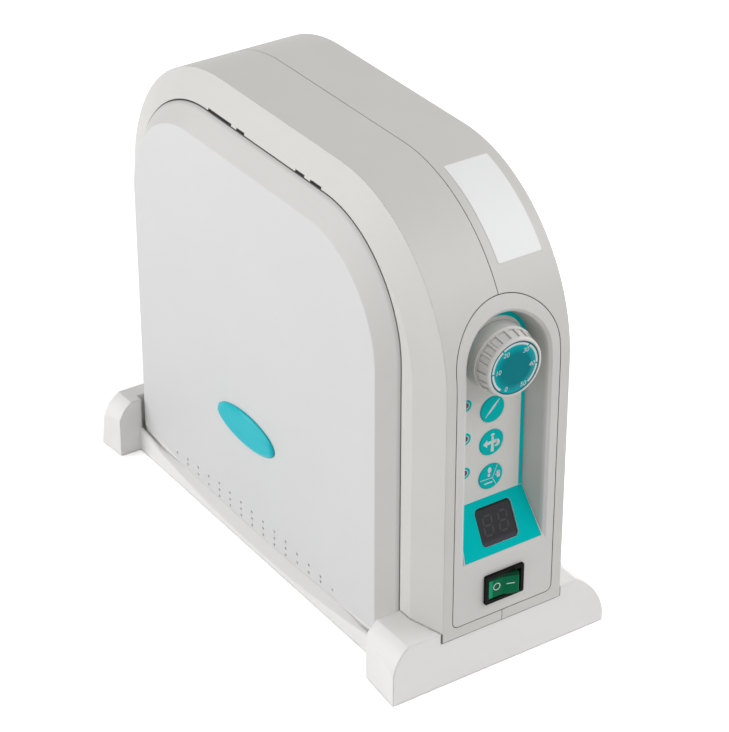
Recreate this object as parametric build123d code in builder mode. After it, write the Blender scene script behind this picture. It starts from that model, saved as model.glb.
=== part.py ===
from build123d import *
import os
from math import atan2, cos, degrees, hypot, radians, sin, sqrt, tan

os.makedirs("parts", exist_ok=True)

# The control box of a dental laboratory micromotor, in millimetres. It stands on the floor plane,
# its controls face -Y, +Z is up, and the origin is below its middle.

# Body: a tall slab with a flat crown strip, a sloping band each side of it and flat flanks
body_top = 229.5
body_front = -131.5
body_rear = 131.5
crown_half = 32.4
crown_front_radius = 80.0
crown_rear_radius = 84.0
flank_half = 37.6
flank_front = -113.5
flank_rear = 119.0
flank_top = 214.0
flank_front_radius = 66.0
flank_rear_radius = 72.0
housing_bottom = 24.4
housing_wall = 2.5
band_wall_share = 0.75
flank_edge_share = 0.2
open_drop = 5.0
flank_wall = 3.2
seam_gap = 0.3
small_sides = 8
overrun = 1.0

# Side covers: dished plates that stand proud of the flanks
cover_front = -105.0
cover_rear = 117.5
cover_top = 213.4
cover_bottom = 9.4
cover_bottom_radius = 1200.0
cover_bottom_y = 4.0
cover_front_radius = 58.0
cover_rear_radius = 66.0
cover_gap = 0.6
cover_sink = 1.2
cover_edge = 1.4
plateau_half = 43.5
plateau_front = -93.7
plateau_rear = 112.5
plateau_top = 200.5
plateau_radius = 52.0
cover_wall = 2.2
cover_peg_width = 6.0
cover_peg_places = [(-60.0, 60.0), (-40.0, 170.0), (75.0, 60.0), (60.0, 170.0)]
clip_notch_depth = 1.0
clip_notch_spans = [(-43.7, -35.0), (-30.3, -23.1), (19.0, 25.8), (30.1, 50.0)]
vent_columns = [1, 2, 2, 2, 3, 3, 3, 3, 3, 3, 3, 2, 2, 2, 1]
vent_pitch = 10.0
vent_first = -59.5
vent_middle_height = 15.3
vent_row_pitch = 3.75
vent_radius = 0.7

# Badge plate: a plain domed oval
badge_y = 13.5
badge_z = 64.3
badge_length = 49.6
badge_width = 17.6
badge_thickness = 1.8
badge_edge_drop = 1.0
badge_edge_run = 1.6

# Base stand: two cross feet joined by side rails and a deck
foot_bottom = 0.3
foot_top = 29.5
foot_half = 58.5
left_crease = -50.2
left_arc_start = 14.0
right_crease = 42.3
right_arc_start = 6.0
right_arc_middle = (52.6, 20.0)
front_foot_face = -131.0
front_foot_back = -106.0
front_foot_back_half = 56.2
rear_foot_face = 130.6
rear_foot_lean = 4.0
rear_foot_back = 114.0
rear_foot_back_half = 57.2
rail_half = 46.0
rail_crease = 2.9
rail_crease_radius = 620.0
rail_slope_half = 42.6
rail_slope_gap = 0.5
rail_foot_width = 7.0
rail_hollow_height = 6.2
cover_room = 1.0
plinth_half = 36.0
base_wall = 3.0
notch_clearance = 0.35
pad_radius = 6.3
pad_clearance = 0.2
pad_recess = 1.5
pad_x = 49.0
pad_y_front = -118.5
pad_y_rear = 122.0
deck_slot_count = 6
deck_slot_pitch = 9.0
deck_slot_length = 44.0
deck_slot_width = 4.0
deck_slot_y = 50.0

# Front panel with its sunken control field
panel_half = 27.0
panel_bottom = 30.3
panel_arch_height = 160.0
panel_corner = 3.0
panel_gap = 0.35
panel_skin = 2.5
panel_flange_step = 0.1
panel_flange = 1.5
panel_flange_overlap = 2.4
field_y = -119.5
field_half = 17.8
field_bottom = 84.6
mouth_y = body_front
mouth_half = 22.0
mouth_bottom = 61.0
mouth_overrun = 1.5
field_wall = 2.0
field_rim_zone = 4.0
rim_chamfer = 1.1
film_thickness = 0.4
film_margin = 0.3
film_front_gap = 1.0

# Three keys with their lamps
key_radius = 6.4
key_clearance = 0.3
key_heights = [129.6, 112.7, 95.1]
key_names = ["handpiece_button", "direction_button", "mode_button"]
key_proud = 0.5
key_flange_width = 14.6
key_flange = 1.0
key_travel = 0.4
key_stem_width = 3.0
key_chamfer = 0.4
key_rest_gap = 0.3
lamp_x = -14.0
lamp_rise = 6.2
lamp_radius = 1.5
lamp_clearance = 0.1
tact_width = 6.0
tact_height = 3.5
tact_button_sink = 0.6
tact_well_floor = 0.3
tact_well_clearance = 0.4
board_y = -111.0
board_thickness = 1.6
board_half = 17.0
board_bottom = 87.0
board_top = 141.5
board_post_width = 4.6
board_post_places = [(-14.0, 90.5), (14.0, 90.5), (-14.0, 124.5), (14.0, 138.0)]

# Display behind its window in the ramp
window_width = 19.8
window_height = 17.8
window_drop = 12.6
window_round = 2.5
window_depth = 0.8
window_lens = 1.4
window_clearance = 0.15
display_width = 22.0
display_height = 15.0
display_depth = 7.0
display_gap = 0.1
display_board_width = 30.0
display_board_height = 22.0

# Speed dial on the shaft of its potentiometer
dial_height = 158.0
dial_reach = -135.3
dial_skirt_radius = 15.6
dial_skirt_end = -127.4
dial_grip_radius = 15.3
dial_grip_chamfer = 1.2
dial_gap = 0.5
dial_groove_count = 20
dial_groove_width = 2.5
dial_groove_depth = 0.7
dial_groove_length = 4.8
dial_cap_radius = 12.6
dial_cap_thickness = 1.0
dial_cap_clearance = 0.1
dial_cap_sink = 0.15
dial_bore_depth = 11.0
shaft_radius = 3.0
shaft_end_gap = 0.5
shaft_root = 2.0
shaft_root_gap = 0.1
shaft_clearance = 0.05
bush_radius = 3.5
bush_length = 7.0
bush_clearance = 0.1
close_fit = 0.02
nut_across_flats = 10.0
nut_thickness = 2.0
nut_hole_clearance = 0.6
nut_pocket_clearance = 0.5
pot_width = 16.0
pot_tab = (12.0, 6.0, 1.2)
pot_tab_overlap = 1.0
pot_depth = 9.0

# Rocker switch for the mains, in its snap-in frame
rocker_z = 44.7
rocker_flange_width = 21.0
rocker_flange_height = 15.0
rocker_flange = 1.5
rocker_flange_round = 0.6
rocker_body_width = 19.0
rocker_body_height = 13.0
rocker_body_depth = 14.0
cutout_clearance = 0.1
rocker_well_width = 17.4
rocker_well_height = 11.5
rocker_well_depth = 9.0
rocker_half = 7.5
rocker_height = 11.0
rocker_tilt = 10.0
rocker_pivot_y = -127.5
rocker_end_reach = 6.2
rocker_middle_reach = 5.0
rocker_side_draft = 0.6
rocker_shoulder = 1.0
rocker_root_half = 4.0
rocker_root = 2.6
rocker_pin_radius = 1.2
rocker_pin_length = 12.4
pin_clearance = 0.05
spade_width = 4.8
spade_thickness = 0.8
spade_length = 8.0
spade_places = (-6.0, 0.0, 6.0)

# Rear panel and its sockets
rear_half = 27.0
rear_bottom = 33.0
rear_top = 141.0
rear_thickness = 2.5
rear_gap = 0.35
rear_ledge = 2.0
rear_ledge_overlap = 2.5
rear_corner = 3.0
rear_screw_inset = 4.0
inlet_x = -9.0
inlet_z = 54.0
inlet_flange_width = 31.0
inlet_flange_height = 24.0
inlet_flange = 2.0
inlet_flange_round = 2.0
inlet_body_width = 27.0
inlet_body_height = 19.6
inlet_body_depth = 20.0
inlet_well_width = 24.0
inlet_well_height = 16.4
inlet_well_depth = 17.0
inlet_well_chamfer = 4.5
inlet_pin_recess = 5.2
inlet_pin_size = (4.0, 2.0)
inlet_pin_places = [(-7.0, -2.0), (0.0, 2.0), (7.0, -2.0)]
fuse_x = 17.0
fuse_z = 54.0
fuse_flange_radius = 7.8
fuse_body_radius = 6.2
fuse_bore_radius = 5.0
fuse_body_depth = 26.0
fuse_floor = 2.0
fuse_cap_clearance = 0.08
fuse_cap_gap = 0.1
fuse_cap_thickness = 1.7
fuse_cap_depth = 14.0
fuse_slot_width = 1.4
fuse_slot_inset = 1.5
fuse_slot_depth = 1.0
socket_names = ["motor_socket_a", "motor_socket_b", "pedal_socket"]
socket_places = [(-13.0, 112.0), (13.0, 112.0), (0.0, 84.0)]
socket_nut_radii = [9.5, 9.5, 7.8]
socket_bore_radii = [6.0, 6.0, 4.5]
socket_contact_counts = [4, 4, 3]
socket_nut_thickness = 2.4
socket_wall = 1.6
socket_bore_depth = 9.0
socket_body_depth = 15.0
socket_contact_radius = 0.8
socket_contact_length = 13.0
socket_contact_turn = 45.0
rear_slot_count = 3
rear_slot_pitch = 4.5
rear_slot_length = 20.0
rear_slot_width = 2.2
rear_slot_z = 130.5

# Inside: steel chassis plate, transformer and power board
plate_half = 33.8
plate_front = -100.0
plate_rear = 103.0
plate_thickness = 1.6
plate_corner = 3.0
base_screw_places = [(-24.0, -92.0), (24.0, -92.0), (-24.0, 95.0), (24.0, 95.0)]
base_screw_radius = 2.0
base_screw_head_radius = 4.0
base_screw_head = 2.4
base_screw_end = 31.0
weld_nut_radius = 4.0
weld_nut_height = 4.0
screw_hole_clearance = 0.25
screw_fit = 0.02
core_y = 50.0
core_length = 57.0
core_height = 47.5
core_stack = 34.0
core_limb = 9.5
coil_bulge = 8.5
coil_clearance = 0.4
coil_round = 3.0
bracket_thickness = 1.2
bracket_width = 20.0
bracket_flange = 10.0
power_board_half = 31.0
power_board_front = -86.0
power_board_rear = 12.0
standoff_height = 8.0
standoff_radius = 2.8
standoff_inset = 4.0
sink_x = -21.0
sink_y = -38.0
sink_width = 15.0
sink_length = 52.0
sink_height = 30.0
sink_fin_count = 9
sink_fin_thickness = 1.4
sink_base = 3.0
transistor_count = 3
transistor_pitch = 17.0
transistor_size = (4.6, 13.0, 16.0)
transistor_leads = (0.8, 9.0, 4.0)
capacitor_count = 3
capacitor_pitch = 19.0
capacitor_x = 19.0
capacitor_y = -57.0
capacitor_radius = 8.0
capacitor_height = 26.0
relay_size = (19.0, 15.0, 15.5)
relay_place = (18.0, 2.0)
header_size = (24.0, 6.0, 9.0)
header_place = (4.0, -80.0)
case_screw_places = [(-98.0, 42.0), (97.0, 38.0), (-66.0, 196.0), (72.0, 196.0)]
case_screw_radius = 1.5
case_screw_head_radius = 3.0
case_screw_head = 1.8
rear_screw_head = 1.4
case_screw_grip = 12.0
case_boss_width = 7.0
case_boss_root = 0.5


def side_outline(x, front, rear, bottom, top, front_radius, rear_radius):
    """Side view on the plane X = x: flat below, upright ends, a large round at each top corner."""
    with BuildSketch(Plane.YZ.offset(x)) as outline:
        with Locations(((front + rear) / 2, (bottom + top) / 2)):
            Rectangle(rear - front, top - bottom)
        fillet(outline.vertices().sort_by_distance((front, top))[0], front_radius)
        fillet(outline.vertices().sort_by_distance((rear, top))[0], rear_radius)
    return outline.sketch


def crown_outline(x, inset, bottom=housing_bottom):
    """The outline of the crown strip, drawn in by the inset."""
    return side_outline(
        x, body_front + inset, body_rear - inset, bottom, body_top - inset,
        crown_front_radius - inset, crown_rear_radius - inset,
    )


def flank_outline(x, inset, bottom=housing_bottom):
    """The outline where the sloping band meets the flat flank."""
    return side_outline(
        x, flank_front + inset, flank_rear - inset, bottom, flank_top - inset,
        flank_front_radius - inset, flank_rear_radius - inset,
    )


def sagging_height(y, lowest, radius):
    """The height at y of a long shallow arc whose lowest point is below the middle of the covers."""
    return lowest + radius - sqrt(radius**2 - (y - cover_bottom_y) ** 2)


def bowed_outline(x, front, rear, top, front_radius, rear_radius, lowest):
    """Side view on the plane X = x like side_outline, but with a bottom edge that bows downwards."""
    with BuildSketch(Plane.YZ.offset(x)) as outline:
        with BuildLine():
            Polyline((front, sagging_height(front, lowest, cover_bottom_radius)), (front, top), (rear, top),
                     (rear, sagging_height(rear, lowest, cover_bottom_radius)))
            ThreePointArc(
                (rear, sagging_height(rear, lowest, cover_bottom_radius)), (cover_bottom_y, lowest),
                (front, sagging_height(front, lowest, cover_bottom_radius)),
            )
        make_face()
        fillet(outline.vertices().sort_by_distance((front, top))[0], front_radius)
        fillet(outline.vertices().sort_by_distance((rear, top))[0], rear_radius)
    return outline.sketch


def cover_outline(x, inset, drop=0):
    """The outline of a side cover at its gap to the housing."""
    return bowed_outline(
        x, cover_front + inset, cover_rear - inset, cover_top - inset,
        cover_front_radius - inset, cover_rear_radius - inset, cover_bottom - drop,
    )


def plateau_outline(x, inset, drop=0):
    """The outline of a side cover's flat middle."""
    return bowed_outline(
        x, plateau_front + inset, plateau_rear - inset, plateau_top - inset,
        plateau_radius - inset, plateau_radius - inset, cover_bottom - drop,
    )


def above_rail_outline(x, lowest, radius):
    """Side view of the space between the feet above a long shallow arc."""
    front_end = sagging_height(front_foot_back, lowest, radius)
    rear_end = sagging_height(rear_foot_back, lowest, radius)
    with BuildSketch(Plane.YZ.offset(x)) as outline:
        with BuildLine():
            Polyline((rear_foot_back, rear_end), (rear_foot_back, foot_top + overrun),
                     (front_foot_back, foot_top + overrun), (front_foot_back, front_end))
            ThreePointArc((front_foot_back, front_end), (cover_bottom_y, lowest), (rear_foot_back, rear_end))
        make_face()
    return outline.sketch


def arch_outline(y, half_width, bottom, arch_height, corner):
    """Front view on the plane Y = y: square below, a full round arch above."""
    with BuildSketch(Plane.XZ.offset(-y)) as outline:
        with BuildLine():
            Polyline((-half_width, arch_height), (-half_width, bottom), (half_width, bottom),
                     (half_width, arch_height))
            ThreePointArc((half_width, arch_height), (0, arch_height + half_width),
                          (-half_width, arch_height))
        make_face()
        if corner > 0:
            fillet(outline.vertices().sort_by_distance((-half_width, bottom))[0], corner)
            fillet(outline.vertices().sort_by_distance((half_width, bottom))[0], corner)
    return outline.sketch


def ramp_height_at(y, thickness):
    """The height of the ramp at depth y, or of the back of a wall of that thickness below it."""
    slope = (field_bottom - mouth_bottom) / (field_y - mouth_y)
    return field_bottom - slope * (field_y - y) - thickness * hypot(slope, 1)


def above_ramp_outline(x, back, thickness):
    """Side view on the plane X = x of the space between the ramp and the top of the field."""
    front = mouth_y - mouth_overrun
    with BuildSketch(Plane.YZ.offset(x)) as outline:
        with BuildLine():
            Polyline((back, ramp_height_at(back, thickness)), (back, body_top), (front, body_top),
                     (front, ramp_height_at(front, thickness)), close=True)
        make_face()
    return outline.sketch


def save(node, name):
    """Label a finished piece and write its STEP file."""
    node.part.label = name
    export_step(node.part, "parts/" + name + ".step")


rear_height = rear_top - rear_bottom
rear_middle = (rear_bottom + rear_top) / 2

# Left housing: half of the slab from the seam out to the flank, hollow and open below
flank_inner = flank_half - flank_wall
crown_inner_half = crown_half - band_wall_share * housing_wall
flank_inset = flank_edge_share * housing_wall
below = housing_bottom - open_drop
panel_reach = flank_front - body_front
cover_seat = flank_half - cover_sink
with BuildPart() as left_housing:
    extrude(crown_outline(-seam_gap / 2, 0), amount=-(crown_half - seam_gap / 2))
    loft(
        [crown_outline(-crown_half, 0),
         flank_outline(-flank_half, 0)],
        ruled=True,
    )
    extrude(crown_outline(overrun, housing_wall, below), amount=-(crown_inner_half + overrun),
            mode=Mode.SUBTRACT)
    loft(
        [crown_outline(-crown_inner_half, housing_wall, below),
         flank_outline(-flank_inner, flank_inset, below)],
        ruled=True, mode=Mode.SUBTRACT,
    )
    # sunken seat of the side cover, with its clip notches along the top
    extrude(cover_outline(-cover_seat, -cover_gap), amount=-(cover_sink + overrun), mode=Mode.SUBTRACT)
    for low, high in clip_notch_spans:
        with BuildSketch(Plane.YZ.offset(-cover_seat)):
            with Locations(((low + high) / 2, cover_top)):
                Rectangle(high - low, 2 * (cover_gap + clip_notch_depth))
        extrude(amount=-(cover_sink + overrun), mode=Mode.SUBTRACT)
    # openings for the front panel and the rear panel
    extrude(
        arch_outline(flank_front, panel_half + panel_gap, panel_bottom - panel_gap, panel_arch_height,
                     panel_corner + panel_gap),
        amount=panel_reach + overrun, mode=Mode.SUBTRACT,
    )
    with BuildSketch(Plane.XZ.offset(-body_rear)):
        with Locations((0, rear_middle)):
            RectangleRounded(2 * (rear_half + rear_gap), rear_height + 2 * rear_gap,
                             rear_corner + rear_gap)
    extrude(amount=housing_wall + overrun, mode=Mode.SUBTRACT)
    # ledge inside the rear opening, which the rear panel lies against
    with BuildSketch(Plane.XZ.offset(-(body_rear - rear_thickness))):
        with Locations((0, rear_middle)):
            RectangleRounded(2 * (rear_half + rear_ledge_overlap), rear_height + 2 * rear_ledge_overlap,
                             rear_corner + rear_ledge_overlap)
            RectangleRounded(2 * (rear_half - rear_ledge_overlap), rear_height - 2 * rear_ledge_overlap,
                             rear_corner, mode=Mode.SUBTRACT)
    extrude(amount=rear_ledge)
    with BuildSketch(Plane.XZ.offset(-body_rear)):
        with Locations((0, rear_middle)):
            with GridLocations(2 * (rear_half - rear_screw_inset),
                               rear_height - 2 * rear_screw_inset, 2, 2):
                RegularPolygon(case_screw_radius, small_sides)
    extrude(amount=rear_thickness + rear_ledge + overrun, mode=Mode.SUBTRACT)
    # tubes that the case screws run into
    with BuildSketch(Plane.YZ.offset(-flank_inner - case_boss_root)):
        with Locations(*case_screw_places):
            Rectangle(case_boss_width, case_boss_width)
    extrude(amount=flank_inner + case_boss_root - seam_gap / 2)
    with BuildSketch(Plane.YZ.offset(-flank_inner)):
        with Locations(*case_screw_places):
            RegularPolygon(case_screw_radius, small_sides)
    extrude(amount=flank_inner + overrun, mode=Mode.SUBTRACT)
    # nothing reaches across the seam
    with BuildSketch(Plane.YZ.offset(-seam_gap / 2)):
        with Locations((0, body_top / 2)):
            Rectangle(2 * (body_rear + overrun), body_top + 2 * overrun)
    extrude(amount=crown_half, mode=Mode.SUBTRACT)

with BuildPart() as right_housing:
    mirror(left_housing.part, about=Plane.YZ)
    with BuildSketch(Plane.YZ.offset(cover_seat)):
        with Locations(*case_screw_places):
            RegularPolygon(case_screw_radius + screw_hole_clearance, small_sides)
    extrude(amount=-cover_seat, mode=Mode.SUBTRACT)
    with BuildSketch(Plane.YZ.offset(cover_seat)):
        with Locations(*case_screw_places):
            RegularPolygon(case_screw_head_radius + screw_hole_clearance, small_sides)
    extrude(amount=-case_screw_head, mode=Mode.SUBTRACT)

# Side covers
with BuildPart() as left_side_cover:
    extrude(cover_outline(-cover_seat, 0), amount=-cover_edge)
    loft(
        [cover_outline(-cover_seat - cover_edge, 0),
         plateau_outline(-plateau_half, 0)],
        ruled=True,
    )
    # hollow behind, open towards the housing and below
    extrude(cover_outline(-cover_seat, cover_wall, cover_wall), amount=-cover_edge, mode=Mode.SUBTRACT)
    loft(
        [cover_outline(-cover_seat - cover_edge, cover_wall, cover_wall),
         plateau_outline(-plateau_half + cover_wall, cover_wall, cover_wall)],
        ruled=True, mode=Mode.SUBTRACT,
    )
    with BuildSketch(Plane.YZ.offset(-plateau_half + cover_wall / 2)):
        with Locations(*cover_peg_places):
            Rectangle(cover_peg_width, cover_peg_width)
    extrude(amount=plateau_half - cover_wall / 2 - cover_seat)
    vent_places = []
    middle_column = (len(vent_columns) - 1) / 2
    for column, holes in enumerate(vent_columns):
        spread = vent_row_pitch
        if holes < 3:
            spread *= sqrt(1 - abs(column - middle_column) / middle_column)
        for hole in range(holes):
            rise = 0.0 if holes == 1 else spread * (2 * hole / (holes - 1) - 1)
            vent_places.append((vent_first + vent_pitch * column, vent_middle_height + rise))
    with BuildSketch(Plane.YZ.offset(-plateau_half + cover_wall + overrun)):
        with Locations(*vent_places):
            RegularPolygon(vent_radius, 6)
    extrude(amount=-(cover_wall + 2 * overrun), mode=Mode.SUBTRACT)

with BuildPart() as right_side_cover:
    mirror(left_side_cover.part, about=Plane.YZ)

with BuildPart() as side_badge:
    with BuildSketch(Plane.YZ.offset(-plateau_half)):
        with Locations((badge_y, badge_z)):
            Ellipse(badge_length / 2, badge_width / 2)
    extrude(amount=-badge_thickness)
    chamfer(side_badge.edges().group_by(Axis.X)[0], badge_edge_drop, badge_edge_run)

# Base stand: feet, rails and deck
with BuildPart() as base_stand:
    # cross section of both feet, round at the ends with a crease where the flat top starts
    with BuildSketch(Plane.XZ.offset(-rear_foot_face)):
        with BuildLine():
            Line((foot_half, foot_bottom), (-foot_half, foot_bottom))
            Line((-foot_half, foot_bottom), (-foot_half, left_arc_start))
            TangentArc((-foot_half, left_arc_start), (left_crease, foot_top), tangent=(0, 1))
            Line((left_crease, foot_top), (right_crease, foot_top))
            ThreePointArc((right_crease, foot_top), right_arc_middle, (foot_half, right_arc_start))
            Line((foot_half, right_arc_start), (foot_half, foot_bottom))
        make_face()
    extrude(amount=rear_foot_face - front_foot_face)
    # plan of the feet, which narrow a little towards the middle, and of the rails between them
    with BuildSketch(Plane.XY):
        with BuildLine():
            Polyline(
                (-foot_half, front_foot_face), (foot_half, front_foot_face),
                (front_foot_back_half, front_foot_back), (rail_half, front_foot_back),
                (rail_half, rear_foot_back), (rear_foot_back_half, rear_foot_back),
                (foot_half, rear_foot_face), (-foot_half, rear_foot_face),
                (-rear_foot_back_half, rear_foot_back), (-rail_half, rear_foot_back),
                (-rail_half, front_foot_back), (-front_foot_back_half, front_foot_back),
                close=True,
            )
        make_face()
    extrude(amount=foot_top + overrun, mode=Mode.INTERSECT)
    # the rear face leans forward
    with BuildSketch(Plane.YZ.offset(-foot_half - overrun)):
        with BuildLine():
            Polyline((rear_foot_face, foot_bottom), (rear_foot_face + overrun, foot_bottom),
                     (rear_foot_face + overrun, foot_top + overrun),
                     (rear_foot_face - rear_foot_lean, foot_top + overrun), close=True)
        make_face()
    extrude(amount=2 * (foot_half + overrun), mode=Mode.SUBTRACT)
    # rails between the feet, with a sagging crease and a slope up to the lower edge of the side covers
    slope_top = cover_bottom - rail_slope_gap
    for side in (-1, 1):
        loft(
            [above_rail_outline(side * rail_half, rail_crease, rail_crease_radius),
             above_rail_outline(side * rail_slope_half, slope_top, cover_bottom_radius)],
            ruled=True, mode=Mode.SUBTRACT,
        )
        extrude(above_rail_outline(side * rail_slope_half, slope_top, cover_bottom_radius),
                amount=-side * (rail_slope_half - plinth_half), mode=Mode.SUBTRACT)
    # the notch in plan that the foot of the housing stands in
    with BuildSketch(Plane.XY.offset(housing_bottom)):
        with BuildLine():
            Polyline(
                (-crown_half - notch_clearance, body_front - overrun),
                (crown_half + notch_clearance, body_front - overrun),
                (crown_half + notch_clearance, body_front),
                (flank_half + notch_clearance, flank_front),
                (flank_half + notch_clearance, flank_rear),
                (crown_half + notch_clearance, body_rear),
                (crown_half + notch_clearance, body_rear + overrun),
                (-crown_half - notch_clearance, body_rear + overrun),
                (-crown_half - notch_clearance, body_rear),
                (-flank_half - notch_clearance, flank_rear),
                (-flank_half - notch_clearance, flank_front),
                (-crown_half - notch_clearance, body_front),
                close=True,
            )
        make_face()
    extrude(amount=foot_top, mode=Mode.SUBTRACT)
    # room for the ends of the side covers
    with BuildSketch(Plane.XY.offset(cover_bottom + cover_room)):
        for side in (-1, 1):
            with Locations((side * (plinth_half + plateau_half + overrun) / 2,
                            (cover_front + cover_rear) / 2)):
                Rectangle(plateau_half + overrun - plinth_half, cover_rear - cover_front + 2 * cover_gap)
    extrude(amount=foot_top, mode=Mode.SUBTRACT)
    # hollow underneath, in two steps
    with BuildSketch(Plane.XY):
        with Locations((0, (front_foot_face + rear_foot_face) / 2)):
            Rectangle(2 * (rail_half - rail_foot_width), rear_foot_face - front_foot_face - 2 * base_wall)
    extrude(amount=rail_hollow_height, mode=Mode.SUBTRACT)
    with BuildSketch(Plane.XY):
        with Locations((0, (front_foot_face + rear_foot_face - rear_foot_lean) / 2)):
            Rectangle(2 * (plinth_half - base_wall),
                      rear_foot_face - front_foot_face - rear_foot_lean - 2 * base_wall)
    extrude(amount=housing_bottom - base_wall, mode=Mode.SUBTRACT)
    # cooling slots in the deck
    with BuildSketch(Plane.XY.offset(housing_bottom - base_wall - overrun)):
        with Locations((0, deck_slot_y)):
            with GridLocations(0, deck_slot_pitch, 1, deck_slot_count):
                Rectangle(deck_slot_length, deck_slot_width)
        with Locations(*base_screw_places):
            RegularPolygon(base_screw_radius + screw_hole_clearance, small_sides)
    extrude(amount=base_wall + 2 * overrun, mode=Mode.SUBTRACT)
    # round recesses for the rubber pads
    with BuildSketch(Plane.XY):
        for pad_y in (pad_y_front, pad_y_rear):
            with Locations((-pad_x, pad_y), (pad_x, pad_y)):
                Circle(pad_radius + pad_clearance)
    extrude(amount=foot_bottom + pad_recess, mode=Mode.SUBTRACT)

with BuildPart() as rubber_pads:
    with BuildSketch(Plane.XY):
        for pad_y in (pad_y_front, pad_y_rear):
            with Locations((-pad_x, pad_y), (pad_x, pad_y)):
                Circle(pad_radius)
    extrude(amount=foot_bottom + pad_recess)

# Front panel: a curved skin with a flange behind it and a sunken control field
flange_face = panel_skin + panel_flange_step
with BuildPart() as panel_face_block:
    extrude(crown_outline(-crown_half, 0), amount=2 * crown_half)
    extrude(
        arch_outline(flank_front, panel_half, panel_bottom, panel_arch_height, panel_corner),
        amount=panel_reach + overrun, mode=Mode.INTERSECT,
    )

field_draft = degrees(atan2(mouth_half - field_half, field_y - mouth_y))
with BuildPart() as field_hollow:
    extrude(
        arch_outline(field_y, field_half, mouth_bottom, panel_arch_height, 0),
        amount=field_y - mouth_y + mouth_overrun, taper=-field_draft,
    )
    extrude(above_ramp_outline(-panel_half, field_y, 0), amount=2 * panel_half, mode=Mode.INTERSECT)

field_back = field_y + field_wall
field_back_half = field_half + field_wall * (1 - tan(radians(field_draft)))
with BuildPart() as panel_field_block:
    extrude(
        arch_outline(field_back, field_back_half, mouth_bottom - field_wall, panel_arch_height, 0),
        amount=field_back - mouth_y + mouth_overrun, taper=-field_draft,
    )
    extrude(above_ramp_outline(-panel_half, field_back, field_wall), amount=2 * panel_half,
            mode=Mode.INTERSECT)
    extrude(crown_outline(-crown_half, 0), amount=2 * crown_half, mode=Mode.INTERSECT)

ramp_length = hypot(field_y - mouth_y, field_bottom - mouth_bottom)
ramp_normal = Vector(0, -(field_bottom - mouth_bottom) / ramp_length, (field_y - mouth_y) / ramp_length)
ramp_plane = Plane(origin=(0, field_y, field_bottom), x_dir=(1, 0, 0), z_dir=ramp_normal)

with BuildPart() as front_panel:
    extrude(crown_outline(-crown_half, flange_face), amount=2 * crown_half)
    extrude(
        arch_outline(flank_front, panel_half + panel_flange_overlap, panel_bottom - panel_flange_overlap,
                     panel_arch_height, panel_corner + panel_flange_overlap),
        amount=panel_reach + overrun, mode=Mode.INTERSECT,
    )
    add(panel_face_block.part)
    extrude(
        crown_outline(-crown_half, flange_face + panel_flange, below),
        amount=2 * crown_half, mode=Mode.SUBTRACT,
    )
    add(panel_field_block.part)
    add(field_hollow.part, mode=Mode.SUBTRACT)
    rim_end = field_y - field_rim_zone
    rim = front_panel.edges(Select.LAST).filter_by(lambda edge: edge.bounding_box().max.Y < rim_end)
    chamfer(rim.filter_by(lambda edge: abs(edge.center().X) < (mouth_half + panel_half) / 2), rim_chamfer)
    # posts that carry the key board
    with BuildSketch(Plane.XZ.offset(-board_y)):
        with Locations(*board_post_places):
            Rectangle(board_post_width, board_post_width)
    extrude(amount=board_y - field_y - field_wall / 2)
    # holes for the keys, lamps and dial bush
    with BuildSketch(Plane.XZ.offset(-(field_y + field_wall + overrun))):
        for key_z in key_heights:
            with Locations((0, key_z)):
                Circle(key_radius + key_clearance)
            with Locations((lamp_x, key_z + lamp_rise)):
                RegularPolygon(lamp_radius + lamp_clearance, small_sides)
        with Locations((0, dial_height)):
            Circle(bush_radius + bush_clearance)
    extrude(amount=field_wall + 2 * overrun, mode=Mode.SUBTRACT)
    # display window in the ramp and cut-out for the rocker switch
    with BuildSketch(ramp_plane.offset(-field_wall - 2 * overrun)):
        with Locations((0, -window_drop)):
            RectangleRounded(window_width, window_height, window_round)
    extrude(amount=field_wall + 4 * overrun, mode=Mode.SUBTRACT)
    with BuildSketch(Plane.XZ.offset(-(body_front + 2 * panel_skin))):
        with Locations((0, rocker_z)):
            Rectangle(rocker_body_width + 2 * cutout_clearance, rocker_body_height + 2 * cutout_clearance)
    extrude(amount=2 * panel_skin + overrun, mode=Mode.SUBTRACT)

# Printed film on the field and the ramp
with BuildPart() as control_film:
    extrude(
        arch_outline(field_y, field_half - film_margin, field_bottom, panel_arch_height, 0),
        amount=film_thickness,
    )
    with BuildSketch(ramp_plane):
        with BuildLine():
            Polyline(
                (-(field_half - film_margin), 0), (field_half - film_margin, 0),
                (mouth_half - 2 * film_margin, film_front_gap - ramp_length),
                (-(mouth_half - 2 * film_margin), film_front_gap - ramp_length), close=True,
            )
        make_face()
    extrude(amount=film_thickness)
    with BuildSketch(Plane.XZ.offset(-(field_y + overrun))):
        for key_z in key_heights:
            with Locations((0, key_z)):
                Circle(key_radius + key_clearance)
            with Locations((lamp_x, key_z + lamp_rise)):
                RegularPolygon(lamp_radius + lamp_clearance, small_sides)
        with Locations((0, dial_height)):
            Circle(nut_across_flats / sqrt(3) + nut_hole_clearance)
    extrude(amount=3 * overrun, mode=Mode.SUBTRACT)
    with BuildSketch(ramp_plane.offset(-overrun)):
        with Locations((0, -window_drop)):
            RectangleRounded(window_width, window_height, window_round)
    extrude(amount=3 * overrun, mode=Mode.SUBTRACT)

# Display: dark window, two digit module and its own small board
with BuildPart() as display_window:
    with BuildSketch(ramp_plane.offset(film_thickness - window_depth)):
        with Locations((0, -window_drop)):
            RectangleRounded(window_width - 2 * window_clearance, window_height - 2 * window_clearance,
                             window_round - window_clearance)
    extrude(amount=-window_lens)

with BuildPart() as display_module:
    with BuildSketch(ramp_plane.offset(-field_wall - display_gap)):
        with Locations((0, -window_drop)):
            Rectangle(display_width, display_height)
    extrude(amount=-display_depth)

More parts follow.
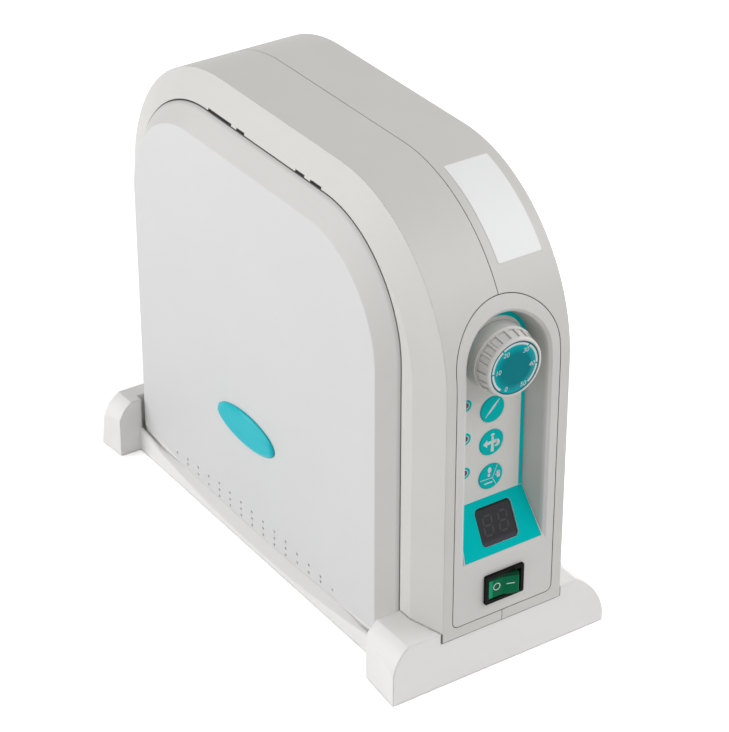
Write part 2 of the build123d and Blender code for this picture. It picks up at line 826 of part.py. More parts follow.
with BuildPart() as display_board:
    with BuildSketch(ramp_plane.offset(-field_wall - display_gap - display_depth)):
        with Locations((0, -window_drop)):
            Rectangle(display_board_width, display_board_height)
    extrude(amount=-board_thickness)

# Keys: a round cap, a flange behind the panel and a stem to the switch
key_face = field_y - film_thickness - key_proud
key_flange_front = field_y + field_wall + key_rest_gap
tact_face = board_y - tact_height
key_stem_end = tact_face + tact_button_sink
keys = []
for key_name, key_z in zip(key_names, key_heights):
    with BuildPart() as key:
        with BuildSketch(Plane.XZ.offset(-key_flange_front)):
            with Locations((0, key_z)):
                Circle(key_radius)
        extrude(amount=key_flange_front - key_face)
        chamfer(key.edges().group_by(Axis.Y)[0], key_chamfer)
        with BuildSketch(Plane.XZ.offset(-(key_flange_front + key_flange))):
            with Locations((0, key_z)):
                Rectangle(key_flange_width, key_flange_width)
        extrude(amount=key_flange)
        with BuildSketch(Plane.XZ.offset(-key_stem_end)):
            with Locations((0, key_z)):
                Rectangle(key_stem_width, key_stem_width)
        extrude(amount=key_stem_end - key_flange_front - key_flange)
    save(key, key_name)

with BuildPart() as tact_switches:
    for key_z in key_heights:
        with BuildSketch(Plane.XZ.offset(-board_y)):
            with Locations((0, key_z)):
                Rectangle(tact_width, tact_width)
        extrude(amount=tact_height)
        with BuildSketch(Plane.XZ.offset(-(key_stem_end + key_travel + tact_well_floor))):
            with Locations((0, key_z)):
                Rectangle(key_stem_width + 2 * tact_well_clearance, key_stem_width + 2 * tact_well_clearance)
        extrude(amount=key_stem_end + key_travel + tact_well_floor - tact_face + overrun,
                mode=Mode.SUBTRACT)

with BuildPart() as status_lamps:
    for key_z in key_heights:
        with BuildSketch(Plane.XZ.offset(-board_y)):
            with Locations((lamp_x, key_z + lamp_rise)):
                RegularPolygon(lamp_radius, small_sides)
        extrude(amount=board_y - field_y + film_thickness)

with BuildPart() as key_board:
    with BuildSketch(Plane.XZ.offset(-(board_y + board_thickness))):
        with Locations((0, (board_bottom + board_top) / 2)):
            Rectangle(2 * board_half, board_top - board_bottom)
    extrude(amount=board_thickness)

# Speed dial: skirt, grooved grip and teal cap
with BuildPart() as speed_dial:
    with BuildSketch(Plane.YZ) as dial_section:
        with BuildLine():
            Polyline(
                (field_y - film_thickness - dial_gap, dial_height),
                (field_y - film_thickness - dial_gap, dial_height + dial_skirt_radius),
                (dial_skirt_end, dial_height + dial_skirt_radius),
                (dial_skirt_end, dial_height + dial_grip_radius),
                (dial_reach, dial_height + dial_grip_radius),
                (dial_reach, dial_height), close=True,
            )
        make_face()
        chamfer(dial_section.vertices().sort_by_distance((dial_reach, dial_height + dial_grip_radius))[0],
                dial_grip_chamfer)
    revolve(axis=Axis((0, 0, dial_height), (0, 1, 0)))
    # rectangular grooves round the grip
    with BuildSketch(Plane.XZ.offset(-dial_skirt_end)):
        with Locations((0, dial_height)):
            with PolarLocations(dial_grip_radius, dial_groove_count):
                Rectangle(2 * dial_groove_depth, dial_groove_width)
    extrude(amount=dial_groove_length, mode=Mode.SUBTRACT)
    # seat of the cap, pocket for the nut and bore for the shaft
    with BuildSketch(Plane.XZ.offset(-(dial_reach + dial_cap_thickness))):
        with Locations((0, dial_height)):
            Circle(dial_cap_radius + dial_cap_clearance)
    extrude(amount=dial_cap_thickness + overrun, mode=Mode.SUBTRACT)
    with BuildSketch(Plane.XZ.offset(-(field_y - film_thickness))):
        with Locations((0, dial_height)):
            Circle(nut_across_flats / sqrt(3) + nut_pocket_clearance)
    extrude(amount=bush_length - field_wall - film_thickness + nut_pocket_clearance, mode=Mode.SUBTRACT)
    with BuildSketch(Plane.XZ.offset(-(field_y - film_thickness))):
        with Locations((0, dial_height)):
            Circle(shaft_radius + close_fit)
    extrude(amount=dial_bore_depth, mode=Mode.SUBTRACT)

with BuildPart() as dial_cap:
    with BuildSketch(Plane.XZ.offset(-(dial_reach + dial_cap_thickness))):
        with Locations((0, dial_height)):
            Circle(dial_cap_radius)
    extrude(amount=dial_cap_thickness - dial_cap_sink)

with BuildPart() as dial_shaft:
    with BuildSketch(Plane.XZ.offset(-(field_y + field_wall + shaft_root))):
        with Locations((0, dial_height)):
            Circle(shaft_radius)
    extrude(amount=field_wall + shaft_root + film_thickness + dial_bore_depth - shaft_end_gap)

with BuildPart() as potentiometer:
    with BuildSketch(Plane.XZ.offset(-(field_y + field_wall + pot_depth))):
        with Locations((0, dial_height)):
            Rectangle(pot_width, pot_width)
    extrude(amount=pot_depth)
    with BuildSketch(Plane.XZ.offset(-(field_y + field_wall))):
        with Locations((0, dial_height)):
            Circle(bush_radius)
    extrude(amount=bush_length)
    with BuildSketch(Plane.XZ.offset(-(field_y + field_wall + shaft_root + shaft_root_gap))):
        with Locations((0, dial_height)):
            Circle(shaft_radius + shaft_clearance)
    extrude(amount=bush_length + shaft_root + overrun, mode=Mode.SUBTRACT)
    with BuildSketch(Plane.XZ.offset(-(field_y + field_wall + pot_depth))):
        with Locations((0, dial_height - (pot_width + pot_tab[1]) / 2 + pot_tab_overlap)):
            Rectangle(pot_tab[0], pot_tab[1])
    extrude(amount=pot_tab[2])

with BuildPart() as potentiometer_nut:
    with BuildSketch(Plane.XZ.offset(-field_y)):
        with Locations((0, dial_height)):
            RegularPolygon(nut_across_flats / 2, 6, major_radius=False)
            Circle(bush_radius + close_fit, mode=Mode.SUBTRACT)
    extrude(amount=nut_thickness)

# Rocker switch
with BuildPart() as rocker_frame:
    with BuildSketch(Plane.XZ.offset(-body_front)):
        with Locations((0, rocker_z)):
            RectangleRounded(rocker_flange_width, rocker_flange_height, rocker_flange_round)
    extrude(amount=rocker_flange)
    with BuildSketch(Plane.XZ.offset(-body_front)):
        with Locations((0, rocker_z)):
            Rectangle(rocker_body_width, rocker_body_height)
    extrude(amount=-rocker_body_depth)
    with BuildSketch(Plane.XZ.offset(-(body_front - rocker_flange))):
        with Locations((0, rocker_z)):
            Rectangle(rocker_well_width, rocker_well_height)
    extrude(amount=-(rocker_well_depth + rocker_flange), mode=Mode.SUBTRACT)
    with BuildSketch(Plane.XY.offset(rocker_z)):
        with Locations((0, rocker_pivot_y)):
            Circle(rocker_pin_radius + pin_clearance)
    extrude(amount=rocker_pin_length / 2 + pin_clearance, both=True, mode=Mode.SUBTRACT)

with BuildPart() as rocker_paddle:
    with BuildSketch(Plane(origin=(0, rocker_pivot_y, rocker_z),
                           x_dir=(cos(radians(rocker_tilt)), -sin(radians(rocker_tilt)), 0))):
        with BuildLine():
            Polyline(
                (-rocker_half, -rocker_end_reach), (0, -rocker_middle_reach),
                (rocker_half, -rocker_end_reach), (rocker_half - rocker_side_draft, -rocker_shoulder),
                (rocker_root_half, rocker_root), (-rocker_root_half, rocker_root),
                (-rocker_half + rocker_side_draft, -rocker_shoulder), close=True,
            )
        make_face()
    extrude(amount=rocker_height / 2, both=True)
    with BuildSketch(Plane.XY.offset(rocker_z)):
        with Locations((0, rocker_pivot_y)):
            Circle(rocker_pin_radius)
    extrude(amount=rocker_pin_length / 2, both=True)

with BuildPart() as rocker_terminals:
    with BuildSketch(Plane.XZ.offset(-(body_front + rocker_body_depth))):
        for terminal_x in spade_places:
            with Locations((terminal_x, rocker_z)):
                Rectangle(spade_thickness, spade_width)
    extrude(amount=-spade_length)

# Rear panel
rear_face = body_rear
with BuildPart() as rear_panel:
    with BuildSketch(Plane.XZ.offset(-rear_face)):
        with Locations((0, rear_middle)):
            RectangleRounded(2 * rear_half, rear_height, rear_corner)
        with Locations((inlet_x, inlet_z)):
            Rectangle(inlet_body_width + 2 * cutout_clearance, inlet_body_height + 2 * cutout_clearance,
                      mode=Mode.SUBTRACT)
        with Locations((fuse_x, fuse_z)):
            Circle(fuse_body_radius + cutout_clearance, mode=Mode.SUBTRACT)
        for place, bore in zip(socket_places, socket_bore_radii):
            with Locations(place):
                Circle(bore + socket_wall + cutout_clearance, mode=Mode.SUBTRACT)
        with Locations((0, rear_slot_z)):
            with GridLocations(0, rear_slot_pitch, 1, rear_slot_count):
                Rectangle(rear_slot_length, rear_slot_width, mode=Mode.SUBTRACT)
        with Locations((0, rear_middle)):
            with GridLocations(2 * (rear_half - rear_screw_inset),
                               rear_height - 2 * rear_screw_inset, 2, 2):
                RegularPolygon(case_screw_radius + screw_hole_clearance, small_sides, mode=Mode.SUBTRACT)
    extrude(amount=rear_thickness)

with BuildPart() as mains_inlet:
    with BuildSketch(Plane.XZ.offset(-rear_face)):
        with Locations((inlet_x, inlet_z)):
            RectangleRounded(inlet_flange_width, inlet_flange_height, inlet_flange_round)
    extrude(amount=-inlet_flange)
    with BuildSketch(Plane.XZ.offset(-rear_face)):
        with Locations((inlet_x, inlet_z)):
            Rectangle(inlet_body_width, inlet_body_height)
    extrude(amount=inlet_body_depth)
    with BuildSketch(Plane.XZ.offset(-(rear_face + inlet_flange))) as inlet_well:
        with Locations((inlet_x, inlet_z)):
            Rectangle(inlet_well_width, inlet_well_height)
        chamfer(inlet_well.vertices().group_by(Axis.Y)[-1], inlet_well_chamfer)
    extrude(amount=inlet_flange + inlet_well_depth, mode=Mode.SUBTRACT)

with BuildPart() as inlet_pins:
    with BuildSketch(Plane.XZ.offset(-(rear_face + inlet_flange - inlet_pin_recess))):
        for pin_x, pin_z in inlet_pin_places:
            with Locations((inlet_x + pin_x, inlet_z + pin_z)):
                Rectangle(inlet_pin_size[1], inlet_pin_size[0])
    extrude(amount=inlet_flange + inlet_well_depth - inlet_pin_recess)

with BuildPart() as fuse_holder:
    with BuildSketch(Plane.XZ.offset(-rear_face)):
        with Locations((fuse_x, fuse_z)):
            Circle(fuse_flange_radius)
    extrude(amount=-inlet_flange)
    with BuildSketch(Plane.XZ.offset(-rear_face)):
        with Locations((fuse_x, fuse_z)):
            Circle(fuse_body_radius)
    extrude(amount=fuse_body_depth)
    with BuildSketch(Plane.XZ.offset(-(rear_face + inlet_flange))):
        with Locations((fuse_x, fuse_z)):
            Circle(fuse_bore_radius)
    extrude(amount=inlet_flange + fuse_body_depth - fuse_floor, mode=Mode.SUBTRACT)

fuse_cap_seat = rear_face + inlet_flange + fuse_cap_gap
with BuildPart() as fuse_cap:
    with BuildSketch(Plane.XZ.offset(-fuse_cap_seat)):
        with Locations((fuse_x, fuse_z)):
            Circle(fuse_body_radius)
    extrude(amount=-fuse_cap_thickness)
    with BuildSketch(Plane.XZ.offset(-fuse_cap_seat)):
        with Locations((fuse_x, fuse_z)):
            Circle(fuse_bore_radius - fuse_cap_clearance)
    extrude(amount=fuse_cap_depth)
    with BuildSketch(Plane.XZ.offset(-(fuse_cap_seat + fuse_cap_thickness))):
        with Locations((fuse_x, fuse_z)):
            Rectangle(2 * (fuse_body_radius - fuse_slot_inset), fuse_slot_width)
    extrude(amount=fuse_slot_depth, mode=Mode.SUBTRACT)

for socket_name, place, nut_radius, bore, contacts in zip(
    socket_names, socket_places, socket_nut_radii, socket_bore_radii, socket_contact_counts
):
    with BuildPart() as socket:
        with BuildSketch(Plane.XZ.offset(-rear_face)):
            with Locations(place):
                RegularPolygon(nut_radius, 6, major_radius=False)
        extrude(amount=-socket_nut_thickness)
        with BuildSketch(Plane.XZ.offset(-rear_face)):
            with Locations(place):
                Circle(bore + socket_wall)
        extrude(amount=socket_body_depth)
        with BuildSketch(Plane.XZ.offset(-(rear_face + socket_nut_thickness))):
            with Locations(place):
                Circle(bore)
        extrude(amount=socket_bore_depth, mode=Mode.SUBTRACT)
        with BuildSketch(Plane.XZ.offset(-rear_face)):
            with Locations(place):
                with PolarLocations(bore / 2, contacts, start_angle=socket_contact_turn):
                    RegularPolygon(socket_contact_radius, 6)
        extrude(amount=socket_contact_length, mode=Mode.SUBTRACT)
    save(socket, socket_name)

# Chassis plate with weld nuts, standing on the deck
plate_top = housing_bottom + plate_thickness
with BuildPart() as chassis_plate:
    with BuildSketch(Plane.XY.offset(housing_bottom)):
        with Locations((0, (plate_front + plate_rear) / 2)):
            RectangleRounded(2 * plate_half, plate_rear - plate_front, plate_corner)
        with Locations((0, deck_slot_y)):
            with GridLocations(0, deck_slot_pitch, 1, deck_slot_count):
                Rectangle(deck_slot_length, deck_slot_width, mode=Mode.SUBTRACT)
    extrude(amount=plate_thickness)
    with BuildSketch(Plane.XY.offset(plate_top)):
        with Locations(*base_screw_places):
            RegularPolygon(weld_nut_radius, 6)
    extrude(amount=weld_nut_height)
    with BuildSketch(Plane.XY.offset(housing_bottom - overrun)):
        with Locations(*base_screw_places):
            RegularPolygon(base_screw_radius, small_sides)
    extrude(amount=plate_thickness + weld_nut_height + 2 * overrun, mode=Mode.SUBTRACT)

with BuildPart() as base_screws:
    with BuildSketch(Plane.XY.offset(housing_bottom - base_wall - base_screw_head)):
        with Locations(*base_screw_places):
            RegularPolygon(base_screw_head_radius, 6)
    extrude(amount=base_screw_head)
    with BuildSketch(Plane.XY.offset(housing_bottom - base_wall)):
        with Locations(*base_screw_places):
            RegularPolygon(base_screw_radius - screw_fit, small_sides)
    extrude(amount=base_screw_end - housing_bottom + base_wall)

with BuildPart() as case_screws:
    with BuildSketch(Plane.YZ.offset(cover_seat)):
        with Locations(*case_screw_places):
            RegularPolygon(case_screw_head_radius, small_sides)
    extrude(amount=-case_screw_head)
    with BuildSketch(Plane.YZ.offset(cover_seat - case_screw_head)):
        with Locations(*case_screw_places):
            RegularPolygon(case_screw_radius - screw_fit, small_sides)
    extrude(amount=-(cover_seat - case_screw_head + case_screw_grip))

with BuildPart() as rear_panel_screws:
    with BuildSketch(Plane.XZ.offset(-rear_face)):
        with Locations((0, rear_middle)):
            with GridLocations(2 * (rear_half - rear_screw_inset),
                               rear_height - 2 * rear_screw_inset, 2, 2):
                RegularPolygon(case_screw_head_radius, 2 * small_sides)
    extrude(amount=-rear_screw_head)
    with BuildSketch(Plane.XZ.offset(-rear_face)):
        with Locations((0, rear_middle)):
            with GridLocations(2 * (rear_half - rear_screw_inset),
                               rear_height - 2 * rear_screw_inset, 2, 2):
                RegularPolygon(case_screw_radius - screw_fit, small_sides)
    extrude(amount=rear_thickness + rear_ledge)

# Transformer: laminated core, bobbin winding and strap
core_bottom = plate_top
window_length = (core_length - 4 * core_limb) / 2
core_window_height = core_height - 2 * core_limb
with BuildPart() as transformer_core:
    with BuildSketch(Plane.YZ.offset(-core_stack / 2)):
        with Locations((core_y, core_bottom + core_height / 2)):
            Rectangle(core_length, core_height)
            with GridLocations(2 * core_limb + window_length, 0, 2, 1):
                Rectangle(window_length, core_window_height, mode=Mode.SUBTRACT)
    extrude(amount=core_stack)

with BuildPart() as transformer_coil:
    with BuildSketch(Plane.XY.offset(core_bottom + core_limb + coil_clearance)):
        with Locations((0, core_y)):
            RectangleRounded(core_stack + 2 * coil_bulge, 2 * (core_limb + window_length - coil_clearance),
                             coil_round)
            Rectangle(core_stack + 2 * coil_clearance, 2 * (core_limb + coil_clearance), mode=Mode.SUBTRACT)
    extrude(amount=core_window_height - 2 * coil_clearance)

strap_side = core_length / 2 + bracket_thickness
strap_foot_end = strap_side + bracket_flange
with BuildPart() as transformer_strap:
    with BuildSketch(Plane.YZ.offset(-bracket_width / 2)):
        with BuildLine():
            Polyline(
                (core_y - strap_foot_end, core_bottom),
                (core_y - core_length / 2, core_bottom),
                (core_y - core_length / 2, core_bottom + core_height),
                (core_y + core_length / 2, core_bottom + core_height),
                (core_y + core_length / 2, core_bottom),
                (core_y + strap_foot_end, core_bottom),
                (core_y + strap_foot_end, core_bottom + bracket_thickness),
                (core_y + strap_side, core_bottom + bracket_thickness),
                (core_y + strap_side, core_bottom + core_height + bracket_thickness),
                (core_y - strap_side, core_bottom + core_height + bracket_thickness),
                (core_y - strap_side, core_bottom + bracket_thickness),
                (core_y - strap_foot_end, core_bottom + bracket_thickness),
                close=True,
            )
        make_face()
    extrude(amount=bracket_width)

# Power board on standoffs, with its larger components
power_board_bottom = plate_top + standoff_height
power_board_top = power_board_bottom + board_thickness
power_board_y = (power_board_front + power_board_rear) / 2
with BuildPart() as board_standoffs:
    with BuildSketch(Plane.XY.offset(plate_top)):
        with Locations((0, power_board_y)):
            with GridLocations(2 * (power_board_half - standoff_inset),
                               power_board_rear - power_board_front - 2 * standoff_inset, 2, 2):
                RegularPolygon(standoff_radius, 6)
    extrude(amount=standoff_height)

with BuildPart() as power_board:
    with BuildSketch(Plane.XY.offset(power_board_bottom)):
        with Locations((0, power_board_y)):
            Rectangle(2 * power_board_half, power_board_rear - power_board_front)
    extrude(amount=board_thickness)

sink_fin_pitch = (sink_length - sink_fin_thickness) / (sink_fin_count - 1)
with BuildPart() as heat_sink:
    with BuildSketch(Plane.XY.offset(power_board_top)):
        with Locations((sink_x + sink_width / 2 - sink_base / 2, sink_y)):
            Rectangle(sink_base, sink_length)
        with Locations((sink_x - sink_base / 2, sink_y)):
            with GridLocations(0, sink_fin_pitch, 1, sink_fin_count):
                Rectangle(sink_width - sink_base, sink_fin_thickness)
    extrude(amount=sink_height)

with BuildPart() as power_transistors:
    with BuildSketch(Plane.XY.offset(power_board_top + transistor_leads[2])):
        with Locations((sink_x + sink_width / 2 + transistor_size[0] / 2, sink_y)):
            with GridLocations(0, transistor_pitch, 1, transistor_count):
                Rectangle(transistor_size[0], transistor_size[1])
    extrude(amount=transistor_size[2])
    with BuildSketch(Plane.XY.offset(power_board_top)):
        with Locations((sink_x + sink_width / 2 + transistor_size[0] / 2, sink_y)):
            with GridLocations(0, transistor_pitch, 1, transistor_count):
                Rectangle(transistor_leads[0], transistor_leads[1])
    extrude(amount=transistor_leads[2])

with BuildPart() as smoothing_capacitors:
    with BuildSketch(Plane.XY.offset(power_board_top)):
        with Locations((capacitor_x, capacitor_y + capacitor_pitch * (capacitor_count - 1) / 2)):
            with GridLocations(0, capacitor_pitch, 1, capacitor_count):
                RegularPolygon(capacitor_radius, 2 * small_sides)
    extrude(amount=capacitor_height)

with BuildPart() as relay:
    with BuildSketch(Plane.XY.offset(power_board_top)):
        with Locations(relay_place):
            Rectangle(relay_size[0], relay_size[1])
    extrude(amount=relay_size[2])

with BuildPart() as board_header:
    with BuildSketch(Plane.XY.offset(power_board_top)):
        with Locations(header_place):
            Rectangle(header_size[0], header_size[1])
    extrude(amount=header_size[2])

pieces = {
    "base_stand": base_stand, "rubber_pads": rubber_pads,
    "left_housing": left_housing, "right_housing": right_housing,
    "left_side_cover": left_side_cover, "right_side_cover": right_side_cover, "side_badge": side_badge,
    "front_panel": front_panel, "control_film": control_film,
    "display_window": display_window, "display_module": display_module, "display_board": display_board,
    "tact_switches": tact_switches, "status_lamps": status_lamps, "key_board": key_board,
    "speed_dial": speed_dial, "dial_cap": dial_cap, "dial_shaft": dial_shaft,
    "potentiometer": potentiometer, "potentiometer_nut": potentiometer_nut,
    "rocker_frame": rocker_frame, "rocker_paddle": rocker_paddle, "rocker_terminals": rocker_terminals,
    "rear_panel": rear_panel, "rear_panel_screws": rear_panel_screws,
    "mains_inlet": mains_inlet, "inlet_pins": inlet_pins,
    "fuse_holder": fuse_holder, "fuse_cap": fuse_cap,
    "chassis_plate": chassis_plate, "base_screws": base_screws, "case_screws": case_screws,
    "transformer_core": transformer_core, "transformer_coil": transformer_coil,
    "transformer_strap": transformer_strap,
    "board_standoffs": board_standoffs, "power_board": power_board, "heat_sink": heat_sink,
    "power_transistors": power_transistors, "smoothing_capacitors": smoothing_capacitors,
    "relay": relay, "board_header": board_header,
}
for piece_name, piece in pieces.items():
    save(piece, piece_name)
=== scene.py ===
from math import atan2, cos, degrees, hypot, pi, radians, sin, sqrt

import bmesh
import bpy
from mathutils import Matrix, Vector


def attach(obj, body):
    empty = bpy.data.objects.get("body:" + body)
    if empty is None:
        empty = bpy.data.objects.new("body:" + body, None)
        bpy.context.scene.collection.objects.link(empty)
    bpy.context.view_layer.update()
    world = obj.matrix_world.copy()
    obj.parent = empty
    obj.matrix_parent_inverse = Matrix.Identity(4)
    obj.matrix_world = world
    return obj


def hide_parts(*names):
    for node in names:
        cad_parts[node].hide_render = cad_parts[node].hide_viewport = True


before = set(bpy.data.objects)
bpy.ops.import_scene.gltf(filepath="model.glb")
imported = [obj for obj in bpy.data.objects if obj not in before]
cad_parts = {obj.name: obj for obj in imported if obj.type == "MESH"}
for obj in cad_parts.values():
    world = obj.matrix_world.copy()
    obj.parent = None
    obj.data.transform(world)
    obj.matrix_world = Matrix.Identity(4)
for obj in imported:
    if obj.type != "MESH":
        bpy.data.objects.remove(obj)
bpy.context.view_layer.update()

# Housing: two moulded halves, screwed together, that meet in a line over the crown. They are satin
# plastic in a warm pale grey, with the fine grain of an eroded mould and edges that are slightly round and
# carry a faint painted highlight.
housing_colour = (0.645, 0.631, 0.606, 1)
housing_skin = {"roughness": 0.44, "grain_size": 0.00045, "grain_depth": 0.000012, "edge_radius": 0.0005}
grain_shine = 0.12


def add_node(tree, kind, inputs=(), **settings):
    """Adds a shader node with its settings, and gives each named input its constant or its link."""
    node = tree.nodes.new("ShaderNode" + kind)
    for setting, choice in settings.items():
        setattr(node, setting, choice)
    for name, value in dict(inputs).items():
        if isinstance(value, bpy.types.NodeSocket):
            tree.links.new(value, node.inputs[name])
        else:
            node.inputs[name].default_value = value
    return node


def maths(tree, operation, *values):
    """The result of one Math node on these constants and sockets."""
    return add_node(tree, "Math", enumerate(values), operation=operation).outputs[0]


def object_place(tree):
    """The shaded point in the object's own coordinates."""
    return add_node(tree, "TexCoord").outputs["Object"]


def mask(tree, value, low, high):
    """Goes from 0 to 1 as the value goes from low to high."""
    rise = add_node(tree, "MapRange", {"Value": value, "From Min": low, "From Max": high})
    return rise.outputs["Result"]


def moulded_grain_group():
    """Fine mould grain, faint clouding, and softened edges with a slightly lighter painted highlight for a
    moulded surface.
    """
    group = bpy.data.node_groups.new("moulded_grain", "ShaderNodeTree")
    for name, kind, value in (
        ("Colour", "NodeSocketColor", (0.8, 0.8, 0.8, 1)),
        ("Colour Shift", "NodeSocketFloat", 0.03),
        ("Roughness", "NodeSocketFloat", 0.4),
        ("Grain Size", "NodeSocketFloat", 0.0004),
        ("Grain Depth", "NodeSocketFloat", 0.00001),
        ("Edge Radius", "NodeSocketFloat", 0.0005),
        ("Edge Highlight", "NodeSocketFloat", 0.04),
    ):
        socket = group.interface.new_socket(name, in_out="INPUT", socket_type=kind)
        socket.default_value = value
    for name, kind in (("Colour", "Color"), ("Roughness", "Float"), ("Normal", "Vector")):
        group.interface.new_socket(name, in_out="OUTPUT", socket_type="NodeSocket" + kind)
    values = group.nodes.new("NodeGroupInput").outputs
    place = object_place(group)
    pitch = maths(group, "DIVIDE", 1.0, values["Grain Size"])
    grain = add_node(group, "TexNoise", {"Vector": place, "Scale": pitch, "Detail": 3, "Roughness": 0.6})
    cloud = add_node(group, "TexNoise", {"Vector": place, "Scale": 28, "Detail": 4})
    # the softened normal leaves the true one only near an edge, which gives the mask for its painted
    # highlight
    edge = add_node(group, "Bevel", {"Radius": values["Edge Radius"]}, samples=6)
    true_normal = add_node(group, "NewGeometry").outputs["True Normal"]
    turn = add_node(
        group, "VectorMath", {0: edge.outputs["Normal"], 1: true_normal}, operation="DOT_PRODUCT",
    )
    edge_highlight_mask = mask(group, turn.outputs["Value"], 0.995, 0.8)
    # brightness: one, shifted either way by the clouding, and lifted along the edges by a painted highlight
    spread = add_node(group, "MapRange", {
        "Value": cloud.outputs["Fac"], "From Min": 0.3, "From Max": 0.7, "To Min": -1, "To Max": 1,
    })
    shift = maths(group, "MULTIPLY_ADD", spread.outputs["Result"], values["Colour Shift"], 1.0)
    lift = maths(group, "MULTIPLY_ADD", edge_highlight_mask, values["Edge Highlight"], shift)
    tint = add_node(group, "VectorMath", {0: values["Colour"], "Scale": lift}, operation="SCALE")
    bump = add_node(group, "Bump", {
        "Strength": 1.0, "Distance": values["Grain Depth"], "Height": grain.outputs["Fac"],
        "Normal": edge.outputs["Normal"],
    })
    results = group.nodes.new("NodeGroupOutput").inputs
    shine = maths(group, "MULTIPLY_ADD", grain.outputs["Fac"], grain_shine, values["Roughness"])
    group.links.new(tint.outputs["Vector"], results["Colour"])
    group.links.new(shine, results["Roughness"])
    group.links.new(bump.outputs["Normal"], results["Normal"])
    return group


moulded_grain = moulded_grain_group()


def surface(material):
    """The sockets of the material's Principled BSDF."""
    return material.node_tree.nodes["Principled BSDF"].inputs


def moulded(name, colour, roughness=0.42, grain_size=0.0004, grain_depth=0.00001, edge_radius=0.0004,
            shift=0.015, edge_highlight=0.04, specular=0.5):
    """A moulded or printed material: the grain group feeds one Principled BSDF."""
    material = bpy.data.materials.new(name)
    material.use_nodes = True
    tree = material.node_tree
    surface(material)["Specular IOR Level"].default_value = specular
    grain = add_node(tree, "Group", {
        "Colour": colour, "Colour Shift": shift, "Roughness": roughness - grain_shine / 2,
        "Grain Size": grain_size, "Grain Depth": grain_depth, "Edge Radius": edge_radius,
        "Edge Highlight": edge_highlight,
    }, node_tree=moulded_grain, name="grain")
    for given, taken in (("Colour", "Base Color"), ("Roughness", "Roughness"), ("Normal", "Normal")):
        tree.links.new(grain.outputs[given], surface(material)[taken])
    return material


def finish(material, *names):
    """Gives the material to these CAD nodes."""
    for name in names:
        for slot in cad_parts[name].material_slots:
            slot.material = material


housing_plastic = moulded("housing_plastic", housing_colour, **housing_skin)
finish(housing_plastic, "left_housing", "right_housing")

# Front panel: a third moulding in the housing's plastic, let into its front. What lies below its face,
# such as the walls of the sunken field, is painted darker as shade in the recess.
panel_colour = (0.660, 0.643, 0.624, 1)
panel_recess_shade_colour = (0.520, 0.507, 0.485, 1)
panel_face_depth = 0.0012
panel_full_shade_depth = 0.0030
crown_centre_y = -0.0515
crown_centre_z = 0.1495
crown_radius = 0.0800


def place_axes(tree):
    """X, Y and Z of the shaded point in the object's own coordinates."""
    return add_node(tree, "SeparateXYZ", {0: object_place(tree)}).outputs


def mix_tones(tree, factor, first, second):
    """The first colour where the factor is 0, and the second where it is 1."""
    mix = add_node(tree, "Mix", {"Factor": factor, "A": first, "B": second}, data_type="RGBA")
    return mix.outputs["Result"]


def feed_grain(material, name, value):
    """Links a value that changes over the surface to this input of the material's grain."""
    material.node_tree.links.new(value, material.node_tree.nodes["grain"].inputs[name])


panel_plastic = moulded("panel_plastic", panel_colour, **housing_skin)
panel_tree = panel_plastic.node_tree
panel_place = place_axes(panel_tree)
panel_back = maths(panel_tree, "SUBTRACT", panel_place["Y"], crown_centre_y)
panel_up = maths(panel_tree, "SUBTRACT", panel_place["Z"], crown_centre_z)
panel_over = maths(panel_tree, "MAXIMUM", panel_up, 0.0)
panel_arm = add_node(panel_tree, "CombineXYZ", {"Y": panel_back, "Z": panel_over})
panel_reach = add_node(panel_tree, "VectorMath", {0: panel_arm.outputs["Vector"]}, operation="LENGTH")
panel_unshaded = mask(
    panel_tree, panel_reach.outputs["Value"], crown_radius - panel_full_shade_depth,
    crown_radius - panel_face_depth,
)
feed_grain(panel_plastic, "Colour", mix_tones(panel_tree, panel_unshaded, panel_recess_shade_colour, panel_colour))
finish(panel_plastic, "front_panel")

# Side covers: moulded plates in a neutral light grey, clipped over the sides, with a smoother grain than
# the housing. The edge of the flat middle is much rounder than the edge at the gap. The dished slope
# between them carries painted shade, darkest next to the gap.
cover_colour = (0.690, 0.690, 0.690, 1)
cover_slope_shade_colour = (0.610, 0.600, 0.582, 1)
cover_gap_shade_colour = (0.380, 0.372, 0.360, 1)
cover_gap_edge = 0.0004
cover_middle_edge = 0.0009
cover_gap_x = 0.0376
cover_middle_x = 0.0435
cover_round_start = 0.0400
cover_round_end = 0.0425


def tones(tree, value, *steps):
    """A colour ramp over the value, from steps that are each a position and a colour."""
    ramp = add_node(tree, "ValToRGB", {"Fac": value})
    elements = ramp.color_ramp.elements
    for element, (position, colour) in zip(elements, (steps[0], steps[-1])):
        element.position = position
        element.color = colour
    for position, colour in steps[1:-1]:
        elements.new(position).color = colour
    return ramp.outputs["Color"]


cover_plastic = moulded(
    "cover_plastic", cover_colour, roughness=0.48, grain_size=0.0005, grain_depth=0.000008, shift=0.008,
)
cover_tree = cover_plastic.node_tree
cover_reach = maths(cover_tree, "ABSOLUTE", place_axes(cover_tree)["X"])
cover_round = add_node(cover_tree, "MapRange", {
    "Value": cover_reach, "From Min": cover_round_start, "From Max": cover_round_end,
    "To Min": cover_gap_edge, "To Max": cover_middle_edge,
})
feed_grain(cover_plastic, "Edge Radius", cover_round.outputs["Result"])
cover_out = mask(cover_tree, cover_reach, cover_gap_x, cover_middle_x)
# painted shade: darkest next to the gap, lighter over the slope, none on the flat middle
cover_shade_tone = tones(
    cover_tree, cover_out, (0.0, cover_gap_shade_colour), (0.20, cover_slope_shade_colour),
    (0.965, cover_slope_shade_colour), (0.995, cover_colour),
)
feed_grain(cover_plastic, "Colour", cover_shade_tone)
finish(cover_plastic, "left_side_cover", "right_side_cover")

